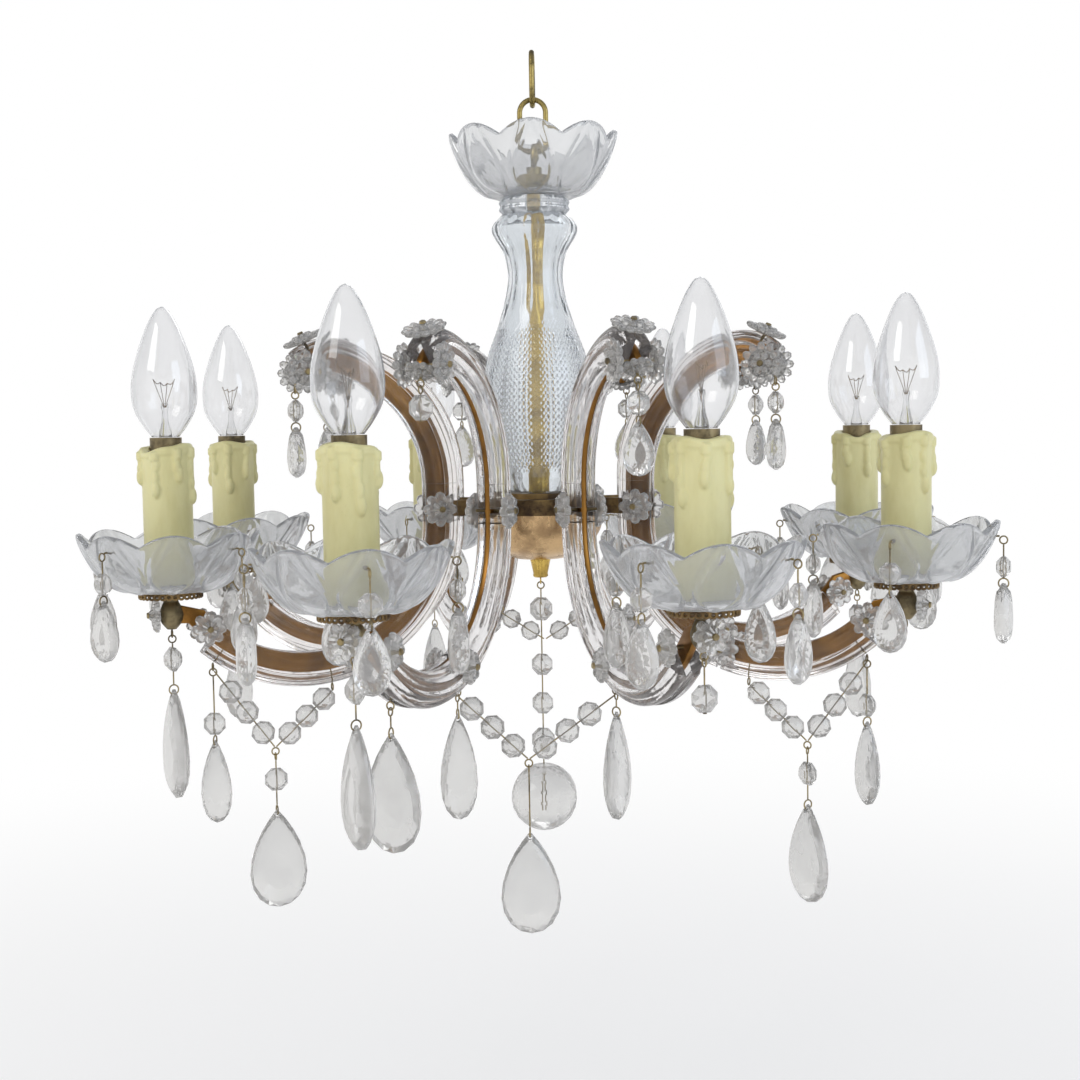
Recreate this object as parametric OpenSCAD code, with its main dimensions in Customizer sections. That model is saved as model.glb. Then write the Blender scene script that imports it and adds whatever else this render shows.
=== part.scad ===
// Eight-arm hanging light with glass-clad arms, drip dishes and cut-glass drops.
// Millimetres, +Z up. The origin is the point where the ceiling hook bears:
// the underside of the top bend of the upper chain link.
// Arm 1 is the front left one seen from -Y; the numbers run anticlockwise from above.

/* [Hanging] */
// Wire thickness of the chain links and of the eye on the rod
link_wire = 3; // [2.6:0.1:3.2]
// Outside length of a chain link
link_len = 33; // [30:1:36]
// Outside width of a chain link
link_w = 18; // [17:0.5:20]
// Inside width of the eye on the rod
eye_inner = 9; // [8:0.5:10]
// Gap between pieces that hang in each other
hang_gap = 0.3; // [0.2:0.05:0.4]

/* [Stem] */
// Diameter of the brass rod down the middle
rod_d = 8; // [7:0.5:9]
// Height of the nut below the eye
nut_h = 8; // [6:1:9]
// Width across the corners of that nut
nut_d = 14; // [13:1:16]
// Thickness of the washer in the top dish
washer_h = 2; // [1.5:0.5:3]
// Outside diameter of the top dish
top_dish_d = 98; // [90:1:106]
// Height of the top dish from its foot to its rim
top_dish_h = 37; // [32:1:42]
// Height of the glass collar under the top dish
collar_h = 10; // [8:1:12]
// Outside diameter of that collar
collar_d = 41; // [39:1:44]
// Height of the glass vase
vase_h = 161; // [150:1:170]
// Widest diameter of the vase
vase_d = 66; // [62:1:70]
// Wall thickness of the vase
vase_wall = 3; // [2.5:0.25:3.5]

/* [Hub] */
// Diameter of the hub plate and of the bowl below it
hub_d = 76; // [70:1:80]
// Thickness of the hub plate
plate_h = 9; // [8:0.5:10]
// Height of the seat that the vase stands on
seat_h = 3; // [2:0.5:4]
// Depth of the spun bowl
bowl_h = 27; // [24:1:30]
// Wall thickness of the spun bowl
bowl_wall = 1.6; // [1.2:0.1:2]
// Height of the finial
finial_h = 11; // [10:1:13]

/* [Arms] */
// Radius of the circle that the candles stand on
candle_r = 215; // [210:1:222]
// Distance from the axis to the arm at the hub
joint_r = 61; // [58:1:64]
// Radius of the upper arc of an arm
upper_r = 74; // [70:1:78]
// Radius of the lower arc of an arm
lower_r = 80; // [78:0.5:82]
// Radius of the scroll at the top of an arm
scroll_r = 20; // [18:0.5:22]
// Width of the flat brass strap
strap_w = 11; // [10:0.5:12]
// Thickness of the strap
strap_t = 3.6; // [3.2:0.1:4]
// Width of the ribbed glass moulding
moulding_w = 19; // [18:0.5:20]
// Thickness of the moulding on each side of the strap
moulding_t = 7.5; // [6.5:0.5:8.5]

/* [Cups] */
// How far the drip cups lie below the middle of the hub plate
cup_drop = 39.5; // [37:0.5:41]
// Outside diameter of a dish
dish_d = 98; // [92:1:102]
// Height of a dish from foot to rim
dish_h = 32; // [28:1:34]
// Wall thickness of the dishes
dish_wall = 3; // [2.5:0.25:3.5]
// Diameter of the brass drip cup below a dish
cup_d = 39; // [36:1:42]
// Outside diameter of a candle sleeve
sleeve_d = 26.5; // [25:0.5:28]
// Length of a candle sleeve
sleeve_h = 77; // [72:1:84]
// Wall thickness of a candle sleeve
sleeve_wall = 1.4; // [1.2:0.1:1.8]
// Length of the longest wax run
drip_len = 26; // [20:1:34]

/* [Bulbs] */
// Widest diameter of a bulb
bulb_d = 35; // [34:0.5:37]
// Height of the glass above its cap
bulb_h = 70; // [66:1:76]
// Diameter of the screw cap
cap_d = 13.7; // [13:0.1:13.9]
// Length of the screw cap
cap_h = 24; // [20:1:26]

/* [Glass trim] */
// Diameter of a rosette at the hub
rosette_d = 20; // [18:1:22]
// Thickness of a rosette
rosette_h = 5; // [4:0.5:6]
// Wire radius of the pins and hooks
wire_r = 0.4; // [0.35:0.05:0.5]
// Diameter of a bead in a garland
bead_d = 12.5; // [11:0.5:13]
// Diameter of a bead on a dish
dish_bead_d = 11; // [10:0.5:12]
// Width of a drop on a dish
dish_drop_w = 19; // [18:0.5:22]
// Length of a drop on a dish
dish_drop_h = 32; // [29:1:36]
// Width of a large almond drop
almond_w = 35; // [32:1:37]
// Length of a large almond drop
almond_h = 60; // [54:1:64]
// Diameter of the ball at the bottom
ball_d = 40; // [36:1:42]

/* [Hidden] */
$fn = 48;

// Clearance of a piece that is slipped over another
slip = 0.15;
// Gap where a wire is bent back against its own loop
touch = 0.05;

// Heights of the chain, from the hook down
upper_low = -(link_len - 2 * link_wire) - link_wire / 2;
chain_top = upper_low + link_wire / 2 + hang_gap;
chain_low = chain_top - (link_len - 2 * link_wire) - link_wire / 2;
eye_z = chain_low + link_wire / 2 + hang_gap - eye_inner / 2;
shank_h = 2.8;
nut_top = eye_z - eye_inner / 2 - link_wire - shank_h;
top_floor = nut_top - nut_h - washer_h;

// Heights of the stem, each piece standing on the next
collar_top = top_floor - dish_wall;
vase_top = collar_top - collar_h;
seat_top = vase_top - vase_h;
plate_top = seat_top - seat_h;
bowl_top = plate_top - plate_h;
finial_top = bowl_top - bowl_h;
finial_low = finial_top - finial_h;
joint_z = plate_top - plate_h / 2;
seat_d = 48;
stud_d = 5;
stud_top = bowl_top + 4;
stud_low = finial_low + 4;
coupler_d = 12.3;
coupler_h = 15;
finial_d = 11.8;
finial_tip_d = 8.8;

// The arm's line in its own plane: X is the distance from the axis
upper_z = joint_z + 14.5;
lower_z = joint_z - 7;
upper_x = joint_r + upper_r;
lower_x = joint_r + lower_r;
scroll_from = 100;
scroll_to = 30;
scroll_x = upper_x + (upper_r - scroll_r) * cos(scroll_from);
scroll_z = upper_z + (upper_r - scroll_r) * sin(scroll_from);
strap_in = -8.5;
lower_to = 322;
moulding_to = 311;
bend_at = 250;
end_at = 316;
joint_gap = 2.4;

// Cup levels
cup_z = joint_z - cup_drop;
cup_h = 2;
dish_foot = cup_z;
dish_floor = dish_foot + dish_wall;
nipple_d = 9;
boss_d = 13;
boss_low = cup_z - 21;
boss_top = cup_z - cup_h;
sleeve_top = dish_floor + sleeve_h;
holder_d = 21;
holder_low = dish_floor + 6;
holder_top = sleeve_top + 3;
holder_neck_d = 17;
bulb_z = holder_top + hang_gap;
cap_slip = 0.25;
lobes = 8;

// The trim's wire loops and how far pieces hang below them
loop_r = 2;
drop_loop_r = 2.6;
loop_rise = 2 * wire_r + 0.25 - loop_r;
bead_bore = wire_r + 0.25;
bead_gap = wire_r + 0.2;
drop_hole_r = 1.2;
drop_hole_in = 3.2;
lug_t = 2.2;
drop_t = 9;
hook_reach = 10.5;

// Rim holes of the dishes: four on each, one lobe in two
rim_hole_drop = 8;
rim_hole_z = dish_foot + dish_h - rim_hole_drop;
dish_lead = 6;

// Direction of the first rim hole of each dish, from the front, in degrees
dish_turn = [17, -37, -20, 10, 35, -15, 25, -28];

function arm_angle(i) = -22.5 + 45 * (i - 1);
function on_lower(r, a) = [lower_x + r * cos(a), 0, lower_z + r * sin(a)];
function hook_end(a) = on_lower(lower_r + hook_reach, a);
function turned(p, a) = [p.x * sin(a) + p.y * cos(a), -p.x * cos(a) + p.y * sin(a), p.z];

// A smooth line through key points, n steps between two of them
function blend(a, b, c, d, t) =
    0.5 * (2 * b + (c - a) * t + (2 * a - 5 * b + 4 * c - d) * t * t
           + (3 * b - a - 3 * c + d) * t * t * t);
function smooth(k, n) =
    [for (i = [0:len(k) - 2], j = [0:n - 1])
        blend(k[max(i - 1, 0)], k[i], k[i + 1], k[min(i + 2, len(k) - 1)], j / n),
     k[len(k) - 1]];
function back(p) = [for (i = [len(p) - 1:-1:0]) p[i]];

module at_arm(i) rotate([0, 0, arm_angle(i) - 90]) children();
module at_candle(i) at_arm(i) translate([candle_r, 0, 0]) children();
module in_plane(x, z, a) translate([x, 0, z]) rotate([90, 0, 0]) rotate([0, 0, a]) children();

// A swept piece of an arc in the arm's plane, from angle a to angle b
module arc(x, z, r, a, b)
    in_plane(x, z, a) rotate_extrude(angle = b - a, $fn = 96) translate([r, 0]) children();

module ring(r, wire) rotate([90, 0, 0]) rotate_extrude() translate([r, 0]) circle(wire, $fn = 20);

// A closed link in the XZ plane, the underside of its top bend at the origin
module link() {
    mid = (link_w - link_wire) / 2;
    run = link_len - link_w;
    translate([0, 0, -(link_w / 2 - link_wire)]) {
        rotate([90, 0, 0]) rotate_extrude(angle = 180)
            translate([mid, 0]) circle(link_wire / 2, $fn = 24);
        for (s = [-1, 1]) translate([s * mid, 0, -run])
            cylinder(d = link_wire, h = run, $fn = 24);
        translate([0, 0, -run]) rotate([-90, 0, 0]) rotate_extrude(angle = 180)
            translate([mid, 0]) circle(link_wire / 2, $fn = 24);
    }
}

module upper_link() color("darkgoldenrod") rotate([0, 0, 90]) link();

module chain_link() color("goldenrod") translate([0, 0, chain_top]) link();

module top_eye() color("goldenrod") {
    difference() {
        union() {
            translate([0, 0, eye_z]) rotate([0, 0, 90])
                ring((eye_inner + link_wire) / 2, link_wire / 2);
            translate([0, 0, nut_top]) cylinder(d = link_wire + 4, h = shank_h + link_wire / 2);
            translate([0, 0, nut_top - nut_h]) cylinder(d = nut_d, h = nut_h, $fn = 6);
        }
        translate([0, 0, nut_top - nut_h - 1]) cylinder(d = rod_d + 2 * slip, h = nut_h + 1);
    }
    difference() {
        translate([0, 0, top_floor]) cylinder(d = nut_d + 6, h = washer_h);
        translate([0, 0, top_floor - 1]) cylinder(d = rod_d + 2 * slip, h = washer_h + 2);
    }
}

module centre_rod() color("goldenrod") {
    translate([0, 0, stud_top]) cylinder(d = rod_d, h = nut_top - stud_top - slip);
    translate([0, 0, seat_top + 1]) cylinder(d = coupler_d, h = coupler_h);
    translate([0, 0, stud_low]) cylinder(d = stud_d, h = stud_top - stud_low);
}

// The bowl of a dish: foot radius, rim radius, height and wall
module bowl_shell(foot, rim, h, wall) {
    tilt = 55;
    steps = 14;
    outer = [for (i = [0:steps]) let (t = tilt * i / steps)
        [foot + (rim - foot) * sin(t) / sin(tilt), h * (1 - cos(t)) / (1 - cos(tilt))]];
    inner = [for (i = [0:steps]) let (t = tilt * i / steps,
            dr = (rim - foot) * cos(t) / sin(tilt), dz = h * sin(t) / (1 - cos(tilt)),
            l = sqrt(dr * dr + dz * dz))
        [outer[i].x - wall * dz / l, outer[i].y + wall * dr / l]];
    rotate_extrude($fn = 96) polygon(concat([[0, 0]], outer, back(inner), [[0, wall]]));
}

// Scalloped outline with one lobe at angle zero
module lobed(rim) {
    lobe_r = rim * 0.62;
    for (i = [0:lobes - 1]) rotate(360 * i / lobes) translate([rim - lobe_r, 0]) circle(lobe_r);
    circle(rim * 0.7);
}

module lobed_dish(d, h, wall, foot, hole) {
    difference() {
        intersection() {
            bowl_shell(foot, d / 2, h, wall);
            translate([0, 0, -1]) linear_extrude(h + 2 * wall) lobed(d / 2);
        }
        translate([0, 0, -1]) cylinder(d = hole, h = wall + 2);
    }
}

module top_dish() color("lightcyan") translate([0, 0, collar_top])
    lobed_dish(top_dish_d, top_dish_h, dish_wall, 22, rod_d + 2 * slip);

module neck_collar() color("azure") difference() {
    translate([0, 0, vase_top]) rotate_extrude()
        polygon([[0, 0], [collar_d / 2 - 2, 0], [collar_d / 2, collar_h * 0.3],
                 [collar_d / 2, collar_h * 0.7], [collar_d / 2 - 2, collar_h], [0, collar_h]]);
    translate([0, 0, vase_top - 1]) cylinder(d = rod_d + 2 * slip, h = collar_h + 2);
}

// The vase: half widths as shares of the widest one, heights as shares of the whole
module vase() color("aliceblue") translate([0, 0, seat_top]) {
    r = vase_d / 2;
    keys = [[0.64, 0], [0.82, 0.09], [0.98, 0.23], [1, 0.34], [0.88, 0.49], [0.65, 0.62],
            [0.49, 0.76], [0.55, 0.86], [0.76, 0.945], [0.58, 1]];
    outer = smooth([for (k = keys) [k.x * r, k.y * vase_h]], 4);
    rotate_extrude($fn = 96)
        polygon(concat(outer, back([for (p = outer) [p.x - vase_wall, p.y]])));
}

module hub_plate() color("saddlebrown") difference() {
    union() {
        translate([0, 0, bowl_top]) cylinder(d = hub_d, h = plate_h);
        translate([0, 0, plate_top]) cylinder(d = seat_d, h = seat_h);
        for (i = [1:8]) at_arm(i) translate([0, -strap_t / 2, bowl_top])
            cube([joint_r - strap_w - strap_in, strap_t, plate_h]);
    }
    translate([0, 0, bowl_top - 1]) cylinder(d = rod_d + 2 * slip, h = plate_h + seat_h + 2);
}

module hub_bowl() color("darkgoldenrod") translate([0, 0, bowl_top]) {
    r = hub_d / 2;
    outer = smooth([[r * 0.26, -bowl_h], [r * 0.42, -bowl_h * 0.96], [r * 0.72, -bowl_h * 0.76],
                    [r * 0.92, -bowl_h * 0.42], [r, 0]], 4);
    inner = [for (p = outer) [p.x - bowl_wall, p.y + bowl_wall * (p.y < -1 ? 1 : 0)]];
    hole = stud_d / 2 + slip;
    rotate_extrude($fn = 96)
        polygon(concat([[hole, -bowl_h]], outer, back(inner), [[hole, bowl_wall - bowl_h]]));
}

module finial() color("gold") {
    difference() {
        translate([0, 0, finial_low]) cylinder(d1 = finial_tip_d, d2 = finial_d, h = finial_h);
        translate([0, 0, stud_low - slip]) cylinder(d = stud_d + 2 * slip, h = finial_h);
    }
    translate([0, 0, finial_low - loop_r + 0.2]) rotate([0, 0, 90]) ring(loop_r, wire_r);
}

// Points on an arc of radius r round x, z, from angle a to angle b
function arc_points(x, z, r, a, b, n) =
    [for (k = [0:n]) let (t = a + (b - a) * k / n) [x + r * cos(t), z + r * sin(t)]];

// One edge of the strap, from the scroll to the cup, at this distance from the arm's line
function strap_edge(off) = concat(
    arc_points(scroll_x, scroll_z, scroll_r + off, scroll_to, scroll_from, 10),
    arc_points(upper_x, upper_z, upper_r + off, scroll_from + 4, 180, 19),
    arc_points(lower_x, lower_z, lower_r + off, 180, lower_to, 34));

// Strap of one arm with the boss under the cup and the nipple that carries the cup
module arm(i) color("peru") at_arm(i) difference() {
    union() {
        rotate([90, 0, 0]) linear_extrude(strap_t, center = true)
            polygon(concat(strap_edge(strap_in),
                           [[candle_r, boss_top - 5], [candle_r, boss_low + 3]],
                           back(strap_edge(strap_in + strap_w))));
        translate([candle_r, 0, boss_low]) rotate_extrude()
            polygon([[0, 0], [2.5, 0], [boss_d / 2 - 1, 4], [boss_d / 2, 8],
                     [boss_d / 2 - 1.5, 13], [4, 16], [boss_d / 2 - 1, 19], [0, 19]]);
        translate([candle_r, 0, boss_top - 2]) cylinder(d = nipple_d, h = holder_low + 7 - boss_top);
    }
    for (p = pin_places()) translate([p.x, 0, p.z]) rotate([90, 0, 0])
        cylinder(r = pin_r + slip, h = 2 * strap_t, center = true);
}

// The pins that hold the rosettes, through the strap, in the arm's plane
pin_r = 0.8;
function pin_places() =
    [[scroll_x + (scroll_r - 3) * cos(38), 0, scroll_z + (scroll_r - 3) * sin(38)],
     [joint_r + 3, 0, joint_z],
     on_lower(lower_r - 3, bend_at),
     on_lower(lower_r - 3, end_at)];
rosette_sizes = [22, rosette_d, rosette_d - 1, rosette_d - 1];

// Half of a ribbed moulding: its flat back lies on the strap
module moulding_section() {
    n = 12;
    polygon(concat([[-moulding_w / 2, strap_t / 2], [moulding_w / 2, strap_t / 2]],
        [for (k = [0:n]) let (u = moulding_w * (0.5 - k / n), e = u / (moulding_w * 0.52))
            [u, strap_t / 2 + moulding_t * sqrt(1 - e * e)
                * (1 - 0.14 * pow(cos(540 * u / moulding_w), 2))]]));
}

module moulding_lengths() {
    gap = joint_gap / 2;
    slot = gap / lower_r * 180 / PI;
    arc(scroll_x, scroll_z, scroll_r, 46, scroll_from) moulding_section();
    arc(upper_x, upper_z, upper_r, scroll_from, 180) moulding_section();
    translate([joint_r, 0, joint_z + gap]) rotate([0, 0, 180]) mirror([0, 1, 0])
        linear_extrude(upper_z - joint_z - gap) moulding_section();
    translate([joint_r, 0, lower_z]) rotate([0, 0, 180]) mirror([0, 1, 0])
        linear_extrude(joint_z - gap - lower_z) moulding_section();
    arc(lower_x, lower_z, lower_r, 180, bend_at - slot) moulding_section();
    arc(lower_x, lower_z, lower_r, bend_at + slot, moulding_to) moulding_section();
}

module arm_glass_left() color("powderblue") for (i = [1:8]) at_arm(i) mirror([0, 1, 0])
    moulding_lengths();

module arm_glass_right() color("lightblue") for (i = [1:8]) at_arm(i) moulding_lengths();

module drip_cups() color("gold") for (i = [1:8]) at_candle(i) difference() {
    translate([0, 0, cup_z - cup_h]) cylinder(d = cup_d, h = cup_h);
    translate([0, 0, cup_z - cup_h - 1]) cylinder(d = nipple_d + 2 * slip, h = cup_h + 2);
    for (k = [0:15]) rotate([0, 0, 22.5 * k]) translate([cup_d / 2 - 3.5, 0, cup_z - cup_h - 1])
        cylinder(d = 3, h = cup_h + 2, $fn = 16);
}

module lampholders() color("darkkhaki") for (i = [1:8]) at_candle(i) difference() {
    union() {
        translate([0, 0, holder_low]) cylinder(d = holder_d, h = sleeve_top - 4 - holder_low);
        translate([0, 0, sleeve_top - 4]) cylinder(d = holder_neck_d, h = holder_top - sleeve_top + 4);
    }
    translate([0, 0, holder_low - 1]) cylinder(d = nipple_d + 2 * slip, h = 7);
    translate([0, 0, holder_top - cap_h - 2]) cylinder(d = cap_d + 2 * cap_slip, h = cap_h + 3);
}

module dish(i) color("lightcyan") at_candle(i) translate([0, 0, dish_foot])
    rotate([0, 0, dish_turn[i - 1] - arm_angle(i)]) difference() {
        lobed_dish(dish_d, dish_h, dish_wall, 21, nipple_d + 2 * slip);
        for (k = [0:3]) rotate([0, 0, 90 * k])
            translate([dish_d * 0.36, 0, dish_h - rim_hole_drop]) rotate([0, 90, 0])
                cylinder(r = wire_r + 0.4, h = dish_d * 0.2, $fn = 16);
    }

// Wax runs: angle and share of the longest run
wax_runs = [[10, 1], [62, 0.55], [118, 0.8], [170, 0.5], [215, 0.95], [268, 0.62], [318, 0.75]];

module candle(i) color("lemonchiffon") at_candle(i) rotate([0, 0, 37 * i]) difference() {
    union() {
        translate([0, 0, dish_floor]) cylinder(d = sleeve_d, h = sleeve_h);
        translate([0, 0, sleeve_top - 5]) cylinder(d = sleeve_d + 2.4, h = 4);
        for (w = wax_runs) rotate([0, 0, w[0]]) translate([sleeve_d / 2, 0, sleeve_top - 3]) {
            translate([0, 0, -drip_len * w[1]]) cylinder(r = 2, h = drip_len * w[1], $fn = 20);
            translate([0, 0, -drip_len * w[1]]) sphere(2.4, $fn = 20);
        }
    }
    translate([0, 0, dish_floor - 4]) cylinder(d = sleeve_d - 2 * sleeve_wall, h = sleeve_h + 1);
    translate([0, 0, dish_floor]) cylinder(d = holder_neck_d + 0.6, h = sleeve_h + 2);
}

module bulb(i) color("whitesmoke") at_candle(i) translate([0, 0, bulb_z]) {
    r = bulb_d / 2;
    wall = 0.9;
    outer = smooth([[cap_d / 2 + 0.4, 0], [r * 0.68, bulb_h * 0.09], [r * 0.93, bulb_h * 0.21],
                    [r, bulb_h * 0.34], [r * 0.94, bulb_h * 0.5], [r * 0.74, bulb_h * 0.68],
                    [r * 0.46, bulb_h * 0.86], [r * 0.2, bulb_h * 0.97], [0, bulb_h]], 3);
    inner = [for (p = outer) if (p.x > 2 * wall) [p.x - wall, min(p.y, bulb_h - wall)]];
    rotate_extrude() polygon(concat(outer, [[0, bulb_h - 2 * wall]], back(inner)));
    translate([0, 0, -cap_h]) cylinder(d = cap_d, h = cap_h - 0.2);
    translate([0, 0, -1]) cylinder(d1 = 7, d2 = 3, h = 19);
    for (s = [-1, 1]) translate([s * 0.8, 0, 17]) rotate([0, s * 22, 0])
        cylinder(r = 0.35, h = 15, $fn = 16);
}

// Cut rosette: two star layers, flat back at the origin, facing +Z
module rosette(d) {
    function star(r, k) = [for (j = [0:15]) let (a = 22.5 * j, q = j % 2 == 0 ? r : r * k)
        [q * cos(a), q * sin(a)]];
    difference() {
        union() {
            linear_extrude(rosette_h * 0.6) polygon(star(d / 2, 0.84));
            linear_extrude(rosette_h) rotate(22.5) polygon(star(d * 0.31, 0.8));
        }
        translate([0, 0, -1]) cylinder(r = pin_r + slip, h = rosette_h + 2);
    }
}

rosette_y = strap_t / 2 + moulding_t + 0.1;
crown_at = 66;
crown_r = scroll_r + moulding_w / 2 + 0.2;
tip_d = 17;
tip_r = scroll_r + strap_in + strap_w / 2;
tip_face = [scroll_x + tip_r * cos(scroll_to), 0, scroll_z + tip_r * sin(scroll_to)];
tip_pin = rosette_h + 1.5;
tip_end = tip_face + tip_pin * [sin(scroll_to), 0, -cos(scroll_to)];

// Radial frame on the scroll at angle a: +Z points away from the scroll's centre
module on_scroll(a, r) in_plane(scroll_x, scroll_z, a) translate([r, 0, 0])
    rotate([0, 90, 0]) children();

// Frame at the tip of the strap: +Z points on along the scroll
module on_tip() translate(tip_face) rotate([0, 180 - scroll_to, 0]) children();

module arm_rosettes() {
    for (k = [0:3], s = [-1, 1]) translate([pin_places()[k].x, s * rosette_y, pin_places()[k].z])
        rotate([-90 * s, 0, 0]) rosette(rosette_sizes[k]);
    on_scroll(crown_at, crown_r) rosette(rosette_d);
    on_tip() translate([0, 0, 0.3]) rosette(tip_d);
    translate([candle_r + boss_d / 2 + 0.4, 0, boss_low + 8]) rotate([0, 90, 0])
        rosette(rosette_d - 1);
}

module rosettes() color("white") for (i = [1:8]) at_arm(i) arm_rosettes();

// A pin along +Z from the origin, with a head at its far end
module headed(r, h, head_r, head_h) rotate_extrude($fn = 24)
    polygon([[0, 0], [r, 0], [r, h], [head_r, h], [head_r * 0.8, h + head_h], [0, h + head_h]]);

module arm_pins() {
    reach = rosette_y + rosette_h;
    for (p = pin_places()) translate([p.x, 0, p.z]) {
        rotate([90, 0, 0]) headed(pin_r, reach, 1.8, 1);
        rotate([-90, 0, 0]) headed(pin_r, reach, 1.8, 1);
    }
    on_scroll(crown_at, scroll_r + strap_in + strap_w + 0.05)
        headed(pin_r, crown_r + rosette_h - (scroll_r + strap_in + strap_w), 1.8, 1);
    on_tip() translate([0, 0, 0.02]) cylinder(r = pin_r, h = tip_pin - 0.6);
    translate(tip_end - [0, 0, loop_r]) rotate([0, 0, 90]) ring(loop_r, wire_r);
    translate([candle_r + boss_d / 2 + 0.02, 0, boss_low + 8]) rotate([0, 90, 0])
        headed(pin_r, rosette_h + 0.6, 1.8, 1);
}

// A strand hangs below the origin, which is the middle of the wire that it swings on.
// Its loops lie in the XZ plane. lead is the bare wire above the bead of diameter d, tail the
// bare wire below it.
function lead_end(lead) = loop_rise - loop_r - lead;
function wire_end(d, lead, tail) = lead_end(lead) - (d > 0 ? d + 2 * bead_gap : 0) - tail;

module strand_wire(d, lead, tail = 0, turn = 0, drop = true) {
    low = wire_end(d, lead, tail);
    translate([0, 0, loop_rise]) ring(loop_r, wire_r);
    translate([0, 0, low + wire_r + touch])
        cylinder(r = wire_r, h = loop_rise - loop_r - low - 2 * (wire_r + touch), $fn = 20);
    if (drop) translate([0, 0, low - drop_loop_r]) rotate([0, 0, turn]) ring(drop_loop_r, wire_r);
    else translate([0, 0, low]) cylinder(r = 1, h = wire_r, $fn = 20);
}

// Cut bead: an octagon bevelled on both faces, drilled down its middle, flat faces at +X and -X
module bead(d) difference() {
    intersection() {
        rotate([0, 90, 0]) rotate([0, 0, 22.5])
            cylinder(r = d / 2 / cos(22.5), h = d, center = true, $fn = 8);
        rotate([0, 90, 0]) rotate_extrude($fn = 32)
            polygon([[0, -d * 0.32], [d * 0.26, -d * 0.32], [d * 0.56, -d * 0.07],
                     [d * 0.56, d * 0.07], [d * 0.26, d * 0.32], [0, d * 0.32]]);
    }
    cylinder(r = bead_bore, h = 2 * d, center = true, $fn = 20);
}

module strand_bead(d, lead, turn = 0) if (d > 0)
    translate([0, 0, lead_end(lead) - bead_gap - d / 2]) rotate([0, 0, turn]) bead(d);

// Pear-shaped drop with a bevelled edge, its hole at the origin, flat faces at +X and -X
module pear(w, h, t, n) {
    mid = 0.6 * h;
    table = 0.55;
    girdle = 0.9;
    function edge(k) = [for (j = [0:n - 1]) let (u = 360 * j / n)
        [k * w / 2 * sin(u) * pow(abs(sin(u / 2)), 0.8) * 1.14,
         k * (mid - h * (1 - cos(u)) / 2) - mid]];
    levels = [[-t / 2, table], [-girdle, 1], [girdle, 1], [t / 2, table]];
    points = [for (l = levels, p = edge(l[1])) [p.x, l[0], p.y + drop_hole_in]];
    sides = [for (l = [0:2], j = [0:n - 1]) let (k = (j + 1) % n)
        [l * n + j, (l + 1) * n + j, (l + 1) * n + k, l * n + k]];
    rotate([0, 0, 90]) difference() {
        polyhedron(points, concat([[for (j = [0:n - 1]) j]], sides,
                                  [[for (j = [n - 1:-1:0]) 3 * n + j]]));
        rotate([90, 0, 0]) cylinder(r = drop_hole_r, h = 2 * t, center = true, $fn = 20);
        for (s = [0, 1]) mirror([0, s, 0]) translate([-w / 2, lug_t / 2, -drop_hole_in])
            cube([w, t, 4 * drop_hole_in]);
    }
}

module strand_drop(d, lead, w, h, tail = 0, turn = 0, n = 10)
    translate([0, 0, wire_end(d, lead, tail) - 2 * drop_loop_r - (drop_hole_r - wire_r) * 0.6])
        rotate([0, 0, turn]) pear(w, h, drop_t, n);

module strand(d, lead, w, h, tail, turn = 0) {
    strand_wire(d, lead, tail, turn);
    strand_bead(d, lead, turn);
    strand_drop(d, lead, w, h, tail, turn, 12);
}

// A row of beads on a straight wire from a down to b, the last bead 5 above b
module aim(a, b) {
    v = b - a;
    translate(a) rotate([0, acos(v.z / norm(v)), atan2(v.y, v.x)]) children();
}
module bead_row(a, b, d, count) {
    pitch = min((norm(a - b) - 6 - d) / (count - 1), d + 2.5);
    for (k = [0:count - 1]) aim(b, a) translate([0, 0, 5 + d / 2 + k * pitch])
        rotate([0, 0, 90]) bead(d);
}
module row_wire(a, b) aim(a, b) translate([0, 0, 2 * wire_r])
    cylinder(r = wire_r, h = norm(b - a) - 4 * wire_r, $fn = 20);

// A hook from the strap's lower edge, through the slot between the mouldings, with its loop
module hook(a) {
    in_plane(lower_x, lower_z, a) translate([lower_r + strap_in + strap_w + 0.02, 0, 0])
        rotate([0, 90, 0])
            cylinder(r = wire_r, h = hook_reach - strap_in - strap_w - 2 * wire_r, $fn = 20);
    translate(loop_mid(a)) rotate([0, 0, 90]) ring(loop_r, wire_r);
}
// Middle of the loop that hangs on a hook
function loop_mid(a) = hook_end(a) - [0, 0, loop_r];

// Angle of a hook that lies this far inside the candle
function hook_before(inside) =
    360 - acos((candle_r - inside - lower_x) / (lower_r + hook_reach));

// Places of the garlands in their planes: hook angles and the low point
end_hook = hook_before(33);
side_hooks = [261, hook_before(21.5)];
side_low = [(hook_end(side_hooks[0]).x + hook_end(side_hooks[1]).x) / 2, 0, joint_z - 130.5];
bay_hook = 250;
bay_low = [-5, -97, joint_z - 131.5];
rear_hook = 221;
rear_low = [0, 66, joint_z - 88];

// The side rows start beside the strand that hangs from the same loop
function side_rows() = [for (a = side_hooks) [loop_mid(a) + [0, 1.2, 0.4 - loop_r], side_low]];
function bay_ends(first, a) = [turned(loop_mid(a), arm_angle(first)),
                               turned(loop_mid(a), arm_angle(first + 1))];

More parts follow.
